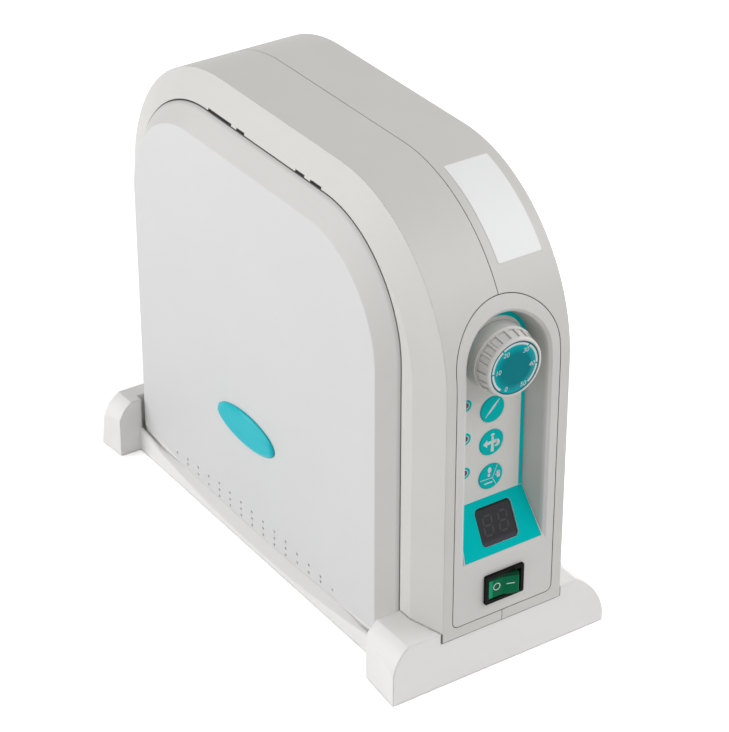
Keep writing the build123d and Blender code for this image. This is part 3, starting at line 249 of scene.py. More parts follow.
# Vent discs: pale grey felt discs pressed into the vent holes of the covers, a little below the surface,
# to keep out dust
vent_columns = (1, 2, 2, 2, 3, 3, 3, 3, 3, 3, 3, 2, 2, 2, 1)
vent_middle_column = len(vent_columns) // 2
vent_first = -0.0595
vent_pitch = 0.010
vent_middle_z = 0.0153
vent_row_pitch = 0.00375
vent_disc_radius = 0.00059
vent_disc_thickness = 0.0004
vent_disc_x = 0.0430


def add_piece(name, shape, material, body, plane=Matrix.Identity(4), smooth=False):
    """Puts a finished bmesh in the scene as one piece that rides on a body."""
    shape.transform(plane)
    bmesh.ops.recalc_face_normals(shape, faces=shape.faces)
    mesh = bpy.data.meshes.new(name)
    shape.to_mesh(mesh)
    shape.free()
    mesh.materials.append(material)
    for polygon in mesh.polygons:
        polygon.use_smooth = smooth
    piece = bpy.data.objects.new(name, mesh)
    bpy.context.collection.objects.link(piece)
    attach(piece, body)


vent_discs = bmesh.new()
for column, holes in enumerate(vent_columns):
    # full columns are evenly spaced, and shorter ones close in along the oval of the whole pattern
    aside = abs(column - vent_middle_column) / vent_middle_column
    share = 1 if holes == max(vent_columns) else sqrt(1 - aside)
    rises = (0,) if holes == 1 else [2 * hole / (holes - 1) - 1 for hole in range(holes)]
    for rise in rises:
        vent_y = vent_first + vent_pitch * column
        vent_z = vent_middle_z + vent_row_pitch * share * rise
        for side in (-1, 1):
            place = Matrix.Translation((side * vent_disc_x, vent_y, vent_z)) @ Matrix.Rotation(pi / 2, 4, "Y")
            bmesh.ops.create_cone(
                vent_discs, cap_ends=True, segments=12, radius1=vent_disc_radius,
                radius2=vent_disc_radius, depth=vent_disc_thickness, matrix=place,
            )
vent_felt = moulded(
    "vent_felt", (0.460, 0.455, 0.445, 1), roughness=0.8, grain_size=0.0005, grain_depth=0.00003,
    edge_radius=0.0001, shift=0.05,
)
add_piece("vent_discs", vent_discs, vent_felt, "control_box")

# Base stand: a near white moulding with softly rounded feet, screwed under the housing. The slopes of its
# side rails carry painted shade up to near their ends. It stands on four black rubber pads in round recesses.
base_colour = (0.860, 0.852, 0.838, 1)
rail_slope_shade_colour = (0.700, 0.692, 0.676, 1)
rail_end_reach = 0.1050
rail_end_fade = 0.010
rail_slope_turn = (0.15, 0.30)
base_plastic = moulded(
    "base_plastic", base_colour, roughness=0.46, grain_size=0.00045, edge_radius=0.0012, shift=0.008,
)
base_tree = base_plastic.node_tree
base_normal = add_node(base_tree, "TexCoord").outputs["Normal"]
base_turn = add_node(base_tree, "SeparateXYZ", {0: base_normal}).outputs["Z"]
base_slope = mask(base_tree, base_turn, *rail_slope_turn)
base_reach = maths(base_tree, "ABSOLUTE", place_axes(base_tree)["Y"])
base_middle = mask(base_tree, base_reach, rail_end_reach, rail_end_reach - rail_end_fade)
rail_slope_shade = maths(base_tree, "MULTIPLY", base_slope, base_middle)
feed_grain(base_plastic, "Colour", mix_tones(base_tree, rail_slope_shade, base_colour, rail_slope_shade_colour))
finish(base_plastic, "base_stand")
# black rubber for the pads, also used for the black beads and bars of painted shade
rubber_and_shade_black = moulded(
    "rubber_and_shade_black", (0.018, 0.018, 0.019, 1), roughness=0.75, grain_size=0.0009, grain_depth=0.00004,
    shift=0.15,
)
finish(rubber_and_shade_black, "rubber_pads")

# Cover sills: pale strips, moulded with the stand in its plastic, that close the wedge between the ends
# of each cover's curved lower edge and the rail below it
sill_top_floor = 0.01045
sill_foot = 0.0102
sill_low_y = 0.0040
sill_low_z = 0.0093
sill_curve = 1.2
sill_inner = 0.0416
sill_outer = 0.0432
sill_spans = ((-0.1040, -0.0450), (0.0530, 0.1120))
sill_steps = 12


def grow(shape, faces, offset):
    """Extrudes open faces by the offset, which makes them a closed solid."""
    grown = bmesh.ops.extrude_face_region(shape, geom=faces)["geom"]
    moved = [item for item in grown if isinstance(item, bmesh.types.BMVert)]
    bmesh.ops.translate(shape, verts=moved, vec=offset)


sills = bmesh.new()
for low, high in sill_spans:
    for side in (-1, 1):
        top = []
        for step in range(sill_steps + 1):
            y = low + (high - low) * step / sill_steps
            z = max(sill_low_z + (y - sill_low_y) ** 2 / 2 / sill_curve, sill_top_floor)
            top.append(sills.verts.new((side * sill_inner, y, z)))
        edges = [sills.edges.new(pair) for pair in zip(top[:-1], top[1:])]
        wall = bmesh.ops.extrude_edge_only(sills, edges=edges)["geom"]
        for item in wall:
            if isinstance(item, bmesh.types.BMVert):
                item.co.z = sill_foot
        faces = [item for item in wall if isinstance(item, bmesh.types.BMFace)]
        grow(sills, faces, (side * (sill_outer - sill_inner), 0, 0))
add_piece("cover_sills", sills, base_plastic, "control_box")

# Badge plate: a domed oval of glossy teal plastic, glued to the left cover. It is plain, without
# lettering or a sign.
badge_teal = moulded(
    "badge_teal", (0.001, 0.530, 0.610, 1), roughness=0.16, grain_size=0.0012, grain_depth=0.000003,
    edge_radius=0.0012, shift=0.02, specular=0.14,
)
finish(badge_teal, "side_badge")

# Joint shade lines: thin black beads that lie just under the surface in the joints of the housing, as
# painted shade in the gaps. They show as dark lines round the panel, the covers and the stand.
crown_front = crown_centre_y - crown_radius
crown_rear_y = 0.0475
crown_rear_z = 0.1455
crown_rear_radius = 0.084
crown_rear = crown_rear_y + crown_rear_radius
shade_line_depth = 0.00014
shade_line_radius = 0.00019


def add_curve(shape, curve, place=Matrix.Identity(4)):
    """Turns a curve or text into a mesh and adds it to the shape."""
    holder = bpy.data.objects.new("holder", curve)
    bpy.context.collection.objects.link(holder)
    bpy.context.view_layer.update()
    mesh = bpy.data.meshes.new_from_object(holder.evaluated_get(bpy.context.evaluated_depsgraph_get()))
    mesh.transform(place)
    shape.from_mesh(mesh)
    bpy.data.objects.remove(holder)
    bpy.data.meshes.remove(mesh)
    bpy.data.curves.remove(curve)


def add_bead(shape, points, radius, closed=False):
    """Adds a round bead that follows the points."""
    curve = bpy.data.curves.new("bead", "CURVE")
    curve.dimensions = "3D"
    curve.bevel_depth = radius
    curve.bevel_resolution = 1
    curve.use_fill_caps = not closed
    line = curve.splines.new("POLY")
    line.points.add(len(points) - 1)
    for knot, point in zip(line.points, points):
        knot.co = (*point, 1)
    line.use_cyclic_u = closed
    add_curve(shape, curve)


def arc_points(centre, radius, start, end, steps):
    """Points on an arc between two angles in degrees, as pairs."""
    angles = [radians(start + (end - start) * step / steps) for step in range(steps + 1)]
    return [(centre[0] + radius * cos(angle), centre[1] + radius * sin(angle)) for angle in angles]


def crown_front_y(z, depth):
    """Where the crown's front is at height z, measured this deep below its surface."""
    if z <= crown_centre_z:
        return crown_front + depth
    return crown_centre_y - sqrt((crown_radius - depth) ** 2 - (z - crown_centre_z) ** 2)


# round the front panel, whose top is an arch
panel_joint_half = 0.02718
panel_joint_bottom = 0.03012
panel_joint_corner = 0.00318
panel_arch_z = 0.160
corner_x = panel_joint_half - panel_joint_corner
corner_z = panel_joint_bottom + panel_joint_corner
outline = arc_points((0, panel_arch_z), panel_joint_half, 180, 0, steps=64)
outline += [(panel_joint_half, crown_centre_z)]
outline += arc_points((corner_x, corner_z), panel_joint_corner, 0, -90, steps=8)
outline += arc_points((-corner_x, corner_z), panel_joint_corner, -90, -180, steps=8)
outline += [(-panel_joint_half, crown_centre_z)]
panel_joint_shade = bmesh.new()
path = [(x, crown_front_y(z, shade_line_depth), z) for x, z in outline]
add_bead(panel_joint_shade, path, shade_line_radius, closed=True)
add_piece("panel_joint_shade", panel_joint_shade, rubber_and_shade_black, "control_box", smooth=True)

# over each side cover, from its front foot to its rear foot
cover_shade_line_depth = 0.00042
cover_shade_line_radius = 0.00029
cover_foot_z = 0.0270
cover_front_centre = (-0.0470, 0.1554)
cover_front_radius = 0.0583
cover_rear_centre = (0.0515, 0.1474)
cover_rear_radius = 0.0663
outline = [(cover_front_centre[0] - cover_front_radius, cover_foot_z)]
outline += arc_points(cover_front_centre, cover_front_radius, 180, 90, steps=32)
outline += arc_points(cover_rear_centre, cover_rear_radius, 90, 0, steps=32)
outline += [(cover_rear_centre[0] + cover_rear_radius, cover_foot_z)]
cover_joint_shades = bmesh.new()
for side in (-1, 1):
    shade_line_x = side * (cover_gap_x - cover_shade_line_depth)
    add_bead(cover_joint_shades, [(shade_line_x, y, z) for y, z in outline], cover_shade_line_radius)
add_piece("cover_joint_shades", cover_joint_shades, rubber_and_shade_black, "control_box", smooth=True)

# round the foot of the housing, where it stands in the base stand
stand_joint_z = 0.0291
stand_joint_low_z = 0.0245
stand_flank_x = 0.03778
stand_corner_x = 0.03258
stand_shade_line_depth = 0.0002
stand_ends = ((-1, -0.1062, -0.1135, crown_front), (1, 0.1142, 0.1190, crown_rear))
front_bead_y = -0.13141
front_bead_z = 0.02452
front_bead_radius = 0.00016
stand_joint_shade = bmesh.new()
for end, foot_y, flank_y, crown_y in stand_ends:
    shade_line_y = crown_y - end * stand_shade_line_depth
    for side in (-1, 1):
        flank_x = side * stand_flank_x
        corner_x = side * stand_corner_x
        add_bead(stand_joint_shade, [
            (flank_x, foot_y, stand_joint_z), (flank_x, flank_y, stand_joint_z),
            (corner_x, shade_line_y, stand_joint_z), (corner_x, shade_line_y, stand_joint_low_z),
        ], shade_line_radius)
path = [(side * stand_corner_x, front_bead_y, front_bead_z) for side in (-1, 1)]
add_bead(stand_joint_shade, path, front_bead_radius)
add_piece("stand_joint_shade", stand_joint_shade, rubber_and_shade_black, "control_box", smooth=True)

# over the crown, where the two halves of the housing meet
seam_radius = 0.00013
seam_start = 28.5
seam_rear_end_z = 0.1414
seam_foot_z = 0.0246
seam_front_top_z = 0.0299
seam_rear_top_z = 0.0326
front_middle = (-crown_centre_y, crown_centre_z)
front_arc = arc_points(front_middle, crown_radius - shade_line_depth, seam_start, 90, steps=32)
outline = [(-y, z) for y, z in front_arc]
outline += arc_points((crown_rear_y, crown_rear_z), crown_rear_radius - shade_line_depth, 90, 0, steps=32)
outline += [(crown_rear - shade_line_depth, seam_rear_end_z)]
crown_joint_shade = bmesh.new()
add_bead(crown_joint_shade, [(0, y, z) for y, z in outline], seam_radius)
for y, top_z in ((crown_front + shade_line_depth, seam_front_top_z), (crown_rear - shade_line_depth, seam_rear_top_z)):
    add_bead(crown_joint_shade, [(0, y, seam_foot_z), (0, y, top_z)], seam_radius)
add_piece("crown_joint_shade", crown_joint_shade, rubber_and_shade_black, "control_box", smooth=True)

# Notch shade: short black bars set in the notches above each side cover, as painted shade in them.
notch_shade_spans = ((-0.0437, -0.0350), (-0.0303, -0.0231), (0.0190, 0.0258), (0.0301, 0.0500))
notch_shade_x = 0.0367
notch_shade_z = 0.2144
notch_shade_thickness = 0.0006
notch_shade_height = 0.0010
notch_shade_play = 0.0002
notch_shade_edge = 0.0001
notch_shades = bmesh.new()
for side in (-1, 1):
    for low, high in notch_shade_spans:
        size = Matrix.Diagonal((notch_shade_thickness, high - low - 2 * notch_shade_play, notch_shade_height, 1))
        place = Matrix.Translation((side * notch_shade_x, (low + high) / 2, notch_shade_z))
        bmesh.ops.create_cube(notch_shades, size=1, matrix=place @ size)
bmesh.ops.bevel(
    notch_shades, geom=notch_shades.edges[:], offset=notch_shade_edge, offset_type="OFFSET", segments=2, profile=0.5,
    affect="EDGES", material=-1,
)
add_piece("cover_notch_shades", notch_shades, rubber_and_shade_black, "control_box")

# Control film: a printed polyester overlay, stuck on the floor and the ramp of the sunken field. A teal
# line follows the arch down to the all teal ramp, and a ring is printed round each lamp.
film_y = -0.1199
film_thickness = 0.0004
print_thickness = 0.00002
stripe_outer = 0.0175
stripe_width = 0.0020
stripe_foot_gap = 0.0003
touching = 0.000001
ramp_top_y = -0.1195
ramp_top_z = 0.0846
ramp_end_y = -0.1315
ramp_end_z = 0.0610
ramp_top_half = 0.0174
ramp_end_half = 0.0209
ramp_end_margin = 0.0012
window_width = 0.0198
window_height = 0.0178
window_corner = 0.0025
window_drop = 0.0126
lamp_x = -0.0140
lamp_rise = 0.0062
lamp_ring_inner = 0.0019
lamp_ring_outer = 0.0030
key_heights = (0.1296, 0.1127, 0.0951)

film_grey = moulded(
    "film_grey", (0.690, 0.680, 0.650, 1), grain_size=0.0006, grain_depth=0.000006, edge_radius=0.0002,
    shift=0.008, specular=0.3,
)
print_teal = moulded(
    "print_teal", (0.000, 0.520, 0.525, 1), roughness=0.45, grain_size=0.0006, grain_depth=0.000005,
    edge_radius=0.0001, shift=0.012, specular=0.02,
)
finish(film_grey, "control_film")

front_plane = Matrix(((1, 0, 0, 0), (0, 0, -1, 0), (0, 1, 0, 0), (0, 0, 0, 1)))


def at_front(y, z=0.0):
    """The plane that faces the user at depth y and height z: its first axis is X, its second Z."""
    return Matrix.Translation((0, y, z)) @ front_plane


def thicken(shape, thickness):
    """Gives the flat faces of a shape a thickness along their own +Z."""
    grow(shape, shape.faces[:], (0, 0, thickness))


def add_arc(shape, centre, inner, outer, start, sweep, steps):
    """Adds a flat band between two radii, turned counterclockwise from the start angle."""
    ends = []
    for radius in (inner, outer):
        ends.append(shape.verts.new((centre[0] + radius * cos(start), centre[1] + radius * sin(start), 0)))
    edge = shape.edges.new(ends)
    bmesh.ops.spin(
        shape, geom=ends + [edge], cent=(centre[0], centre[1], 0), axis=(0, 0, 1), angle=sweep,
        steps=steps, use_merge=sweep == 2 * pi,
    )


def add_polygon(shape, points):
    """Adds one flat face."""
    return shape.faces.new([shape.verts.new((x, y, 0)) for x, y in points])


stripe = bmesh.new()
add_arc(stripe, (0, panel_arch_z), stripe_outer - stripe_width, stripe_outer, 0, pi, steps=64)
ends = [
    edge for edge in stripe.edges if all(abs(vert.co.y - panel_arch_z) < touching for vert in edge.verts)
]
for item in bmesh.ops.extrude_edge_only(stripe, edges=ends)["geom"]:
    if isinstance(item, bmesh.types.BMVert):
        item.co.y = ramp_top_z + stripe_foot_gap
thicken(stripe, print_thickness)
add_piece("film_stripe", stripe, print_teal, "control_box", at_front(film_y))

rings = bmesh.new()
for key_z in key_heights:
    add_arc(rings, (lamp_x, key_z + lamp_rise), lamp_ring_inner, lamp_ring_outer, 0, 2 * pi, steps=48)
thicken(rings, print_thickness)
add_piece("lamp_rings", rings, print_teal, "control_box", at_front(film_y))

ramp_length = hypot(ramp_top_y - ramp_end_y, ramp_top_z - ramp_end_z)
ramp_normal = Vector((0, -(ramp_top_z - ramp_end_z), ramp_top_y - ramp_end_y)) / ramp_length
ramp_up = Vector((0, ramp_top_y - ramp_end_y, ramp_top_z - ramp_end_z)) / ramp_length


def on_ramp(rise):
    """The plane of the ramp, raised by rise: its first axis is X, its second runs up the slope."""
    origin = Vector((0, ramp_top_y, ramp_top_z)) + rise * ramp_normal
    turn = Matrix((Vector((1, 0, 0)), ramp_up, ramp_normal)).transposed()
    return Matrix.Translation(origin) @ turn.to_4x4()


ramp_print = bmesh.new()
pane = add_polygon(ramp_print, [
    (side * window_width / 2, rise * window_height / 2 - window_drop)
    for side, rise in ((-1, -1), (1, -1), (1, 1), (-1, 1))
])
bmesh.ops.bevel(
    ramp_print, geom=pane.verts[:], offset=window_corner, offset_type="OFFSET", segments=8, profile=0.5,
    affect="VERTICES", material=-1,
)
window_edges = ramp_print.edges[:]
bmesh.ops.delete(ramp_print, geom=ramp_print.faces[:], context="FACES_ONLY")
print_foot = ramp_end_margin - ramp_length
corners = [
    ramp_print.verts.new((x, y, 0)) for x, y in (
        (-ramp_end_half, print_foot), (ramp_end_half, print_foot), (ramp_top_half, 0), (-ramp_top_half, 0),
    )
]
border = [ramp_print.edges.new((corners[i], corners[i - 1])) for i in range(4)]
bmesh.ops.bridge_loops(ramp_print, edges=window_edges + border)
thicken(ramp_print, print_thickness)
add_piece("ramp_print", ramp_print, print_teal, "control_box", on_ramp(film_thickness))

# Display: a tinted acrylic window sunk in the ramp, with the unlit segments of two digits behind it. It
# carries a painted shadow along its top edge and a painted reflection along its foot.
window_sink = 0.0008
window_foot_reflection_colour = (0.060, 0.060, 0.078, 1)
window_low_colour = (0.028, 0.028, 0.034, 1)
window_high_colour = (0.029, 0.029, 0.032, 1)
window_top_shadow_colour = (0.002, 0.002, 0.002, 1)
window_low_z = ramp_top_z - (window_drop + window_height / 2) * ramp_up.z
window_top_z = ramp_top_z - (window_drop - window_height / 2) * ramp_up.z
window_tint = moulded(
    "window_tint", window_low_colour, roughness=0.14, grain_size=0.002, grain_depth=0.000001,
    edge_radius=0.0002, shift=0.02, specular=0.22,
)
window_tree = window_tint.node_tree
window_rise = mask(window_tree, place_axes(window_tree)["Z"], window_low_z, window_top_z)
window_painted_light = tones(
    window_tree, window_rise, (0.02, window_foot_reflection_colour), (0.14, window_low_colour),
    (0.900, window_high_colour), (0.945, window_top_shadow_colour),
)
feed_grain(window_tint, "Colour", window_painted_light)
finish(window_tint, "display_window")

segment_grey = moulded(
    "segment_grey", (0.046, 0.046, 0.052, 1), roughness=0.2, grain_size=0.002, grain_depth=0.000001,
    edge_radius=0.0001, shift=0.02, specular=0.3,
)
digit_places = (-0.0041, 0.0041)
segment_length = 0.0044
segment_width = 0.0009
digit_slant = 0.10
digits = bmesh.new()
half = (segment_length - segment_width) / 2
tip = segment_width / 2
for digit_x in digit_places:
    for across, rise, upright in (
        (0, -1, False), (0, 0, False), (0, 1, False),
        (-0.5, -0.5, True), (0.5, -0.5, True), (-0.5, 0.5, True), (0.5, 0.5, True),
    ):
        face = add_polygon(digits, [
            (-half, 0), (tip - half, -tip), (half - tip, -tip),
            (half, 0), (half - tip, tip), (tip - half, tip),
        ])
        turn = Matrix.Rotation(pi / 2 if upright else 0, 4, "Z")
        for vert in face.verts:
            point = turn @ vert.co + Vector((across * segment_length, rise * segment_length, 0))
            vert.co = (digit_x + point.x + digit_slant * point.y, point.y - window_drop, 0)
thicken(digits, print_thickness)
digit_plane = on_ramp(film_thickness - window_sink)
add_piece("display_digits", digits, segment_grey, "control_box", digit_plane)

# Keys: three round moulded teal caps, each in a soft grey ring that closes its hole in the film. White
# printed pictograms stand for the handpiece, its direction of turning and the choice of foot, hand or
# steady running. Each has a dark lamp beside it.
key_face_y = -0.1204
key_radius = 0.00640
key_ring_gap = 0.00002
key_hole_radius = 0.00670
key_ring_y = film_y + 0.00034
key_ring_thickness = 0.0003
key_teal = moulded(
    "key_teal", (0.000, 0.500, 0.505, 1), grain_size=0.0005, grain_depth=0.000005, edge_radius=0.0003,
    shift=0.012, specular=0.03,
)
finish(key_teal, "handpiece_button", "direction_button", "mode_button")
lamp_lens = moulded(
    "lamp_lens", (0.020, 0.016, 0.015, 1), roughness=0.2, grain_size=0.001, grain_depth=0.000002,
    edge_radius=0.0003,
)
finish(lamp_lens, "status_lamps")

key_rings = bmesh.new()
for key_z in key_heights:
    add_arc(key_rings, (0, key_z), key_radius + key_ring_gap, key_hole_radius, 0, 2 * pi, steps=64)
thicken(key_rings, key_ring_thickness)
add_piece("key_rings", key_rings, film_grey, "control_box", at_front(key_ring_y))

print_white = moulded(
    "print_white", (0.700, 0.715, 0.705, 1), roughness=0.5, grain_size=0.0006, grain_depth=0.000003,
    edge_radius=0.0001, shift=0.01, specular=0.2,
)
millimetre = 0.001


def add_bar(shape, start, end, start_width, end_width):
    """Adds a straight flat bar from start to end, in millimetres on the key's face."""
    along = (Vector(end) - Vector(start)).normalized()
    side = Vector((-along.y, along.x))
    corners = (
        Vector(start) + side * start_width / 2, Vector(start) - side * start_width / 2,
        Vector(end) - side * end_width / 2, Vector(end) + side * end_width / 2,
    )
    add_polygon(shape, [corner * millimetre for corner in corners])


def add_dot(shape, centre, width, height):
    """Adds a flat oval, in millimetres on the key's face."""
    disc = bmesh.ops.create_circle(shape, cap_ends=True, radius=0.5, segments=32)["verts"]
    for vert in disc:
        across = centre[0] + vert.co.x * width
        rise = centre[1] + vert.co.y * height
        vert.co = (across * millimetre, rise * millimetre, 0)


def handpiece_sign(shape):
    """A slim slanted handpiece: lead, sleeve, body and tip."""
    add_bar(shape, (-3.9, -3.2), (-2.5, -1.8), 0.25, 0.5)
    add_bar(shape, (-2.45, -1.75), (-0.5, 0.3), 0.75, 1.15)
    add_bar(shape, (-0.42, 0.38), (1.7, 2.55), 1.3, 1.1)
    add_bar(shape, (1.78, 2.63), (3.5, 4.4), 0.95, 0.35)


def direction_sign(shape):
    """An arrow to the left whose tail turns back, in front of an upright handpiece."""
    add_polygon(shape, [(-0.0047, 0.0001), (-0.0025, -0.0019), (-0.0025, 0.0021)])
    add_bar(shape, (-2.6, 0.1), (2.6, 0.3), 1.6, 1.6)
    add_arc(shape, (0.0024, -0.0008), 0.0004, 0.0019, -pi / 2, pi, steps=16)
    add_bar(shape, (2.4, -2.0), (1.5, -2.3), 1.2, 0.4)
    add_dot(shape, (0.4, 3.9), 2.2, 1.3)
    add_bar(shape, (0.4, 3.5), (0.35, 0.9), 1.0, 1.3)
    add_bar(shape, (0.35, -0.7), (0.3, -4.7), 1.3, 1.7)


def mode_sign(shape):
    """Three fields with a foot, a hand and a steady line."""
    field_middle = (0.8, -0.9)
    field_line = 0.28
    for field_corner in ((3.3, 5.0), (3.0, -5.2), (-5.9, -0.7)):
        add_bar(shape, field_middle, field_corner, field_line, field_line)
    # the sole and heel of the foot, then the palm, fingers and thumb of the hand
    add_dot(shape, (-0.8, 3.5), 1.9, 3.0)
    add_dot(shape, (-1.1, 1.0), 1.3, 1.6)
    add_dot(shape, (4.0, -0.5), 1.9, 2.3)
    finger_pitch = 0.48
    for finger in range(4):
        root = 3.25 + finger_pitch * finger
        add_bar(shape, (root, 0.3), (root - 0.05, 2.0 - 0.15 * abs(finger - 1)), 0.38, 0.34)
    add_bar(shape, (3.3, -0.6), (2.5, 0.4), 0.42, 0.34)
    add_bar(shape, (-3.6, -3.0), (0.9, -3.0), 0.6, 0.6)


key_signs = (("handpiece_key", handpiece_sign), ("direction_key", direction_sign), ("mode_key", mode_sign))
for key_z, (body, draw_sign) in zip(key_heights, key_signs):
    sign = bmesh.new()
    draw_sign(sign)
    thicken(sign, print_thickness)
    add_piece(body + "_sign", sign, print_white, body, at_front(key_face_y, key_z))

# Speed dial: a pale grey moulded knob, pushed on the shaft of its potentiometer, with twenty pockets round
# its tapered grip. Heights are measured forwards from its rear.
dial_z = 0.158
cap_radius = 0.0126
knob_rear_y = -0.1204
knob_steps = 80
pocket_count = 20
shaft_bore_radius = 0.00302
shaft_bore_end = 0.0105
nut_pocket_radius = 0.00627
nut_pocket_end = 0.0046
skirt_radius = 0.0156
skirt_edge = 0.0002
grip_back = 0.0070
grip_front = 0.0143
pocket_back = 0.0079
pocket_front = 0.0134
knob_front = 0.0149
cap_seat = 0.0139
cap_seat_radius = cap_radius + 0.0001
knob_profile = (
    (0.0, shaft_bore_end), (shaft_bore_radius, shaft_bore_end), (shaft_bore_radius, nut_pocket_end),
    (nut_pocket_radius, nut_pocket_end), (nut_pocket_radius, 0.0),
    (skirt_radius - skirt_edge, 0.0), (skirt_radius, skirt_edge),
    (skirt_radius, grip_back - skirt_edge), (skirt_radius - skirt_edge, grip_back),
    (0.0153, grip_back), (0.01518, pocket_back), (0.01418, pocket_front), (0.0140, grip_front),
    (0.01388, 0.0146), (0.01364, 0.0148), (0.0133, knob_front),
    (cap_seat_radius, knob_front), (cap_seat_radius, cap_seat), (0.0, cap_seat),
)
# each pocket narrows by a margin as it goes in, and again as its floor comes back up a little
pocket_insets = ((0.00010, -0.0010), (0.00030, 0.0004))
knob_sharp_angle = radians(28)

knob = bmesh.new()
outline = [knob.verts.new((radius, 0, height)) for radius, height in knob_profile]
edges = [knob.edges.new(pair) for pair in zip(outline[:-1], outline[1:])]
bmesh.ops.spin(knob, geom=outline + edges, axis=(0, 0, 1), angle=2 * pi, steps=knob_steps, use_merge=True)
bmesh.ops.remove_doubles(knob, verts=knob.verts, dist=touching)
bmesh.ops.recalc_face_normals(knob, faces=knob.faces)
pockets = [[] for number in range(pocket_count)]
for face in knob.faces:
    spot = face.calc_center_median()
    if pocket_back < spot.z < pocket_front and spot.xy.length > cap_radius:
        step = int(degrees(atan2(spot.y, spot.x)) % 360 / 360 * knob_steps)
        number, part = divmod(step, knob_steps // pocket_count)
        if part > 0:
            pockets[number].append(face)
for pocket in pockets:
    for margin, rise in pocket_insets:
        bmesh.ops.inset_region(knob, faces=pocket, thickness=margin, depth=rise, use_even_offset=True)
for edge in knob.edges:
    edge.smooth = edge.calc_face_angle(0) < knob_sharp_angle
# its edges and the rims of its pockets carry a stronger painted highlight than the other mouldings
dial_plastic = moulded(
    "dial_plastic", (0.660, 0.643, 0.615, 1), roughness=0.4, grain_depth=0.000008, edge_radius=0.0003,
    shift=0.012, edge_highlight=0.16,
)
knob_plane = at_front(knob_rear_y, dial_z)
add_piece("dial_knob", knob, dial_plastic, "speed_dial_body", knob_plane, smooth=True)
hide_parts("speed_dial")

# Dial cap: a disc of glossy teal plastic, pressed into the front of the knob. It carries a painted
# highlight round its rim, strongest on the upper left, and is darker towards the middle, which swells
# slightly. It carries a printed scale of white arcs with plain numbers.
cap_y = -0.13515
cap_highlight_shift = 0.0006
cap_swell = 0.0006
cap_swell_band = (0.14, 0.40)
cap_outline_width = 0.0006
cap_outline_margin = 0.0001
cap_teal = moulded(
    "cap_teal", (0.000, 0.220, 0.260, 1), roughness=0.24, grain_size=0.001, grain_depth=0.000002,
    edge_radius=0.0003, specular=0.05,
)
cap_tree = cap_teal.node_tree
cap_place = add_node(cap_tree, "Mapping", vector_type="TEXTURE", inputs={
    "Vector": object_place(cap_tree), "Location": (cap_highlight_shift, cap_y, dial_z - cap_highlight_shift),
    "Scale": (cap_radius, cap_radius, cap_radius),
})
cap_fall = add_node(
    cap_tree, "TexGradient", {"Vector": cap_place.outputs["Vector"]}, gradient_type="SPHERICAL",
).outputs["Fac"]
cap_painted_highlight = tones(cap_tree, cap_fall, (0.16, (0.000, 0.400, 0.440, 1)), (0.42, (0.000, 0.210, 0.250, 1)))
feed_grain(cap_teal, "Colour", cap_painted_highlight)
cap_rise = add_node(cap_tree, "MapRange", interpolation_type="SMOOTHSTEP", inputs={
    "Value": cap_fall, "From Min": cap_swell_band[0], "From Max": cap_swell_band[1],
})
cap_bump = add_node(cap_tree, "Bump", {
    "Strength": 1.0, "Distance": cap_swell, "Height": cap_rise.outputs["Result"],
    "Normal": cap_tree.nodes["grain"].outputs["Normal"],
})
cap_tree.links.new(cap_bump.outputs["Normal"], surface(cap_teal)["Normal"])
finish(cap_teal, "dial_cap")

cap_plane = at_front(cap_y, dial_z)
cap_rim_teal = moulded(
    "cap_rim_teal", (0.000, 0.110, 0.150, 1), roughness=0.3, grain_size=0.001, grain_depth=0.000002,
    edge_radius=0.0001, specular=0.2,
)
cap_rim = bmesh.new()
cap_outline = (cap_radius - cap_outline_width, cap_radius - cap_outline_margin)
add_arc(cap_rim, (0, 0), *cap_outline, 0, 2 * pi, steps=96)
thicken(cap_rim, print_thickness)
add_piece("dial_cap_rim", cap_rim, cap_rim_teal, "speed_dial_body", cap_plane)

mark_angles = (231, 180, 123, 52, -6, -54)
scale_inner = 0.0109
scale_outer = 0.0119
scale_gap = radians(4)
scale = bmesh.new()
for start, end in zip(mark_angles[1:], mark_angles[:-1]):
    low = radians(start) + scale_gap / 2
    sweep = radians(end) - scale_gap / 2 - low
    add_arc(scale, (0, 0), scale_inner, scale_outer, low, sweep, steps=24)
thicken(scale, print_thickness)
add_piece("dial_scale", scale, print_white, "speed_dial_body", cap_plane)

number_height = 0.0022
number_radius = 0.0088
end_radius = 0.0104
dial_numbers = (
    ("10", number_radius, 180), ("20", number_radius, 123), ("30", number_radius, 52),
    ("40", number_radius, -6), ("0", end_radius, 244), ("50", end_radius, -65),
)
number_slant = 0.2
capital_share = 0.7
numbers = bmesh.new()
for words, radius, angle in dial_numbers:
    text = bpy.data.curves.new("number", "FONT")
    text.body = words
    text.size = number_height / capital_share
    text.shear = number_slant
    text.align_x = "CENTER"
    text.align_y = "CENTER"
    place = Matrix.Translation((radius * cos(radians(angle)), radius * sin(radians(angle)), 0))
    add_curve(numbers, text, place)
thicken(numbers, print_thickness)
add_piece("dial_numbers", numbers, print_white, "speed_dial_body", cap_plane)

# Rocker switch: a black snap-in frame and a paddle of clear green plastic, with a painted highlight along its
# ends and painted shade along its top, and a white printed O and I
rocker_z = 0.0447
rocker_pivot_y = -0.1275
rocker_tilt = radians(10)
rocker_half = 0.0075
rocker_middle_reach = 0.0050
rocker_end_reach = 0.0062
green_end_highlight_band = (0.0058, 0.0068)
green_top_shade_band = (rocker_z + 0.0036, rocker_z + 0.0041)
green_middle_colour = (0.001, 0.150, 0.062, 1)
green_end_highlight_colour = (0.008, 0.380, 0.190, 1)
green_top_shade_colour = (0.001, 0.052, 0.022, 1)
off_middle = (0.0007, 0)
off_radius = 0.0019
off_stroke = 0.0004
on_half_mm = 1.9
on_stroke_mm = 0.48
frame_black = moulded(
    "frame_black", (0.003, 0.003, 0.003, 1), roughness=0.45, grain_size=0.0005, grain_depth=0.000006,
    edge_radius=0.0001, shift=0.1, specular=0.06,
)
finish(frame_black, "rocker_frame")

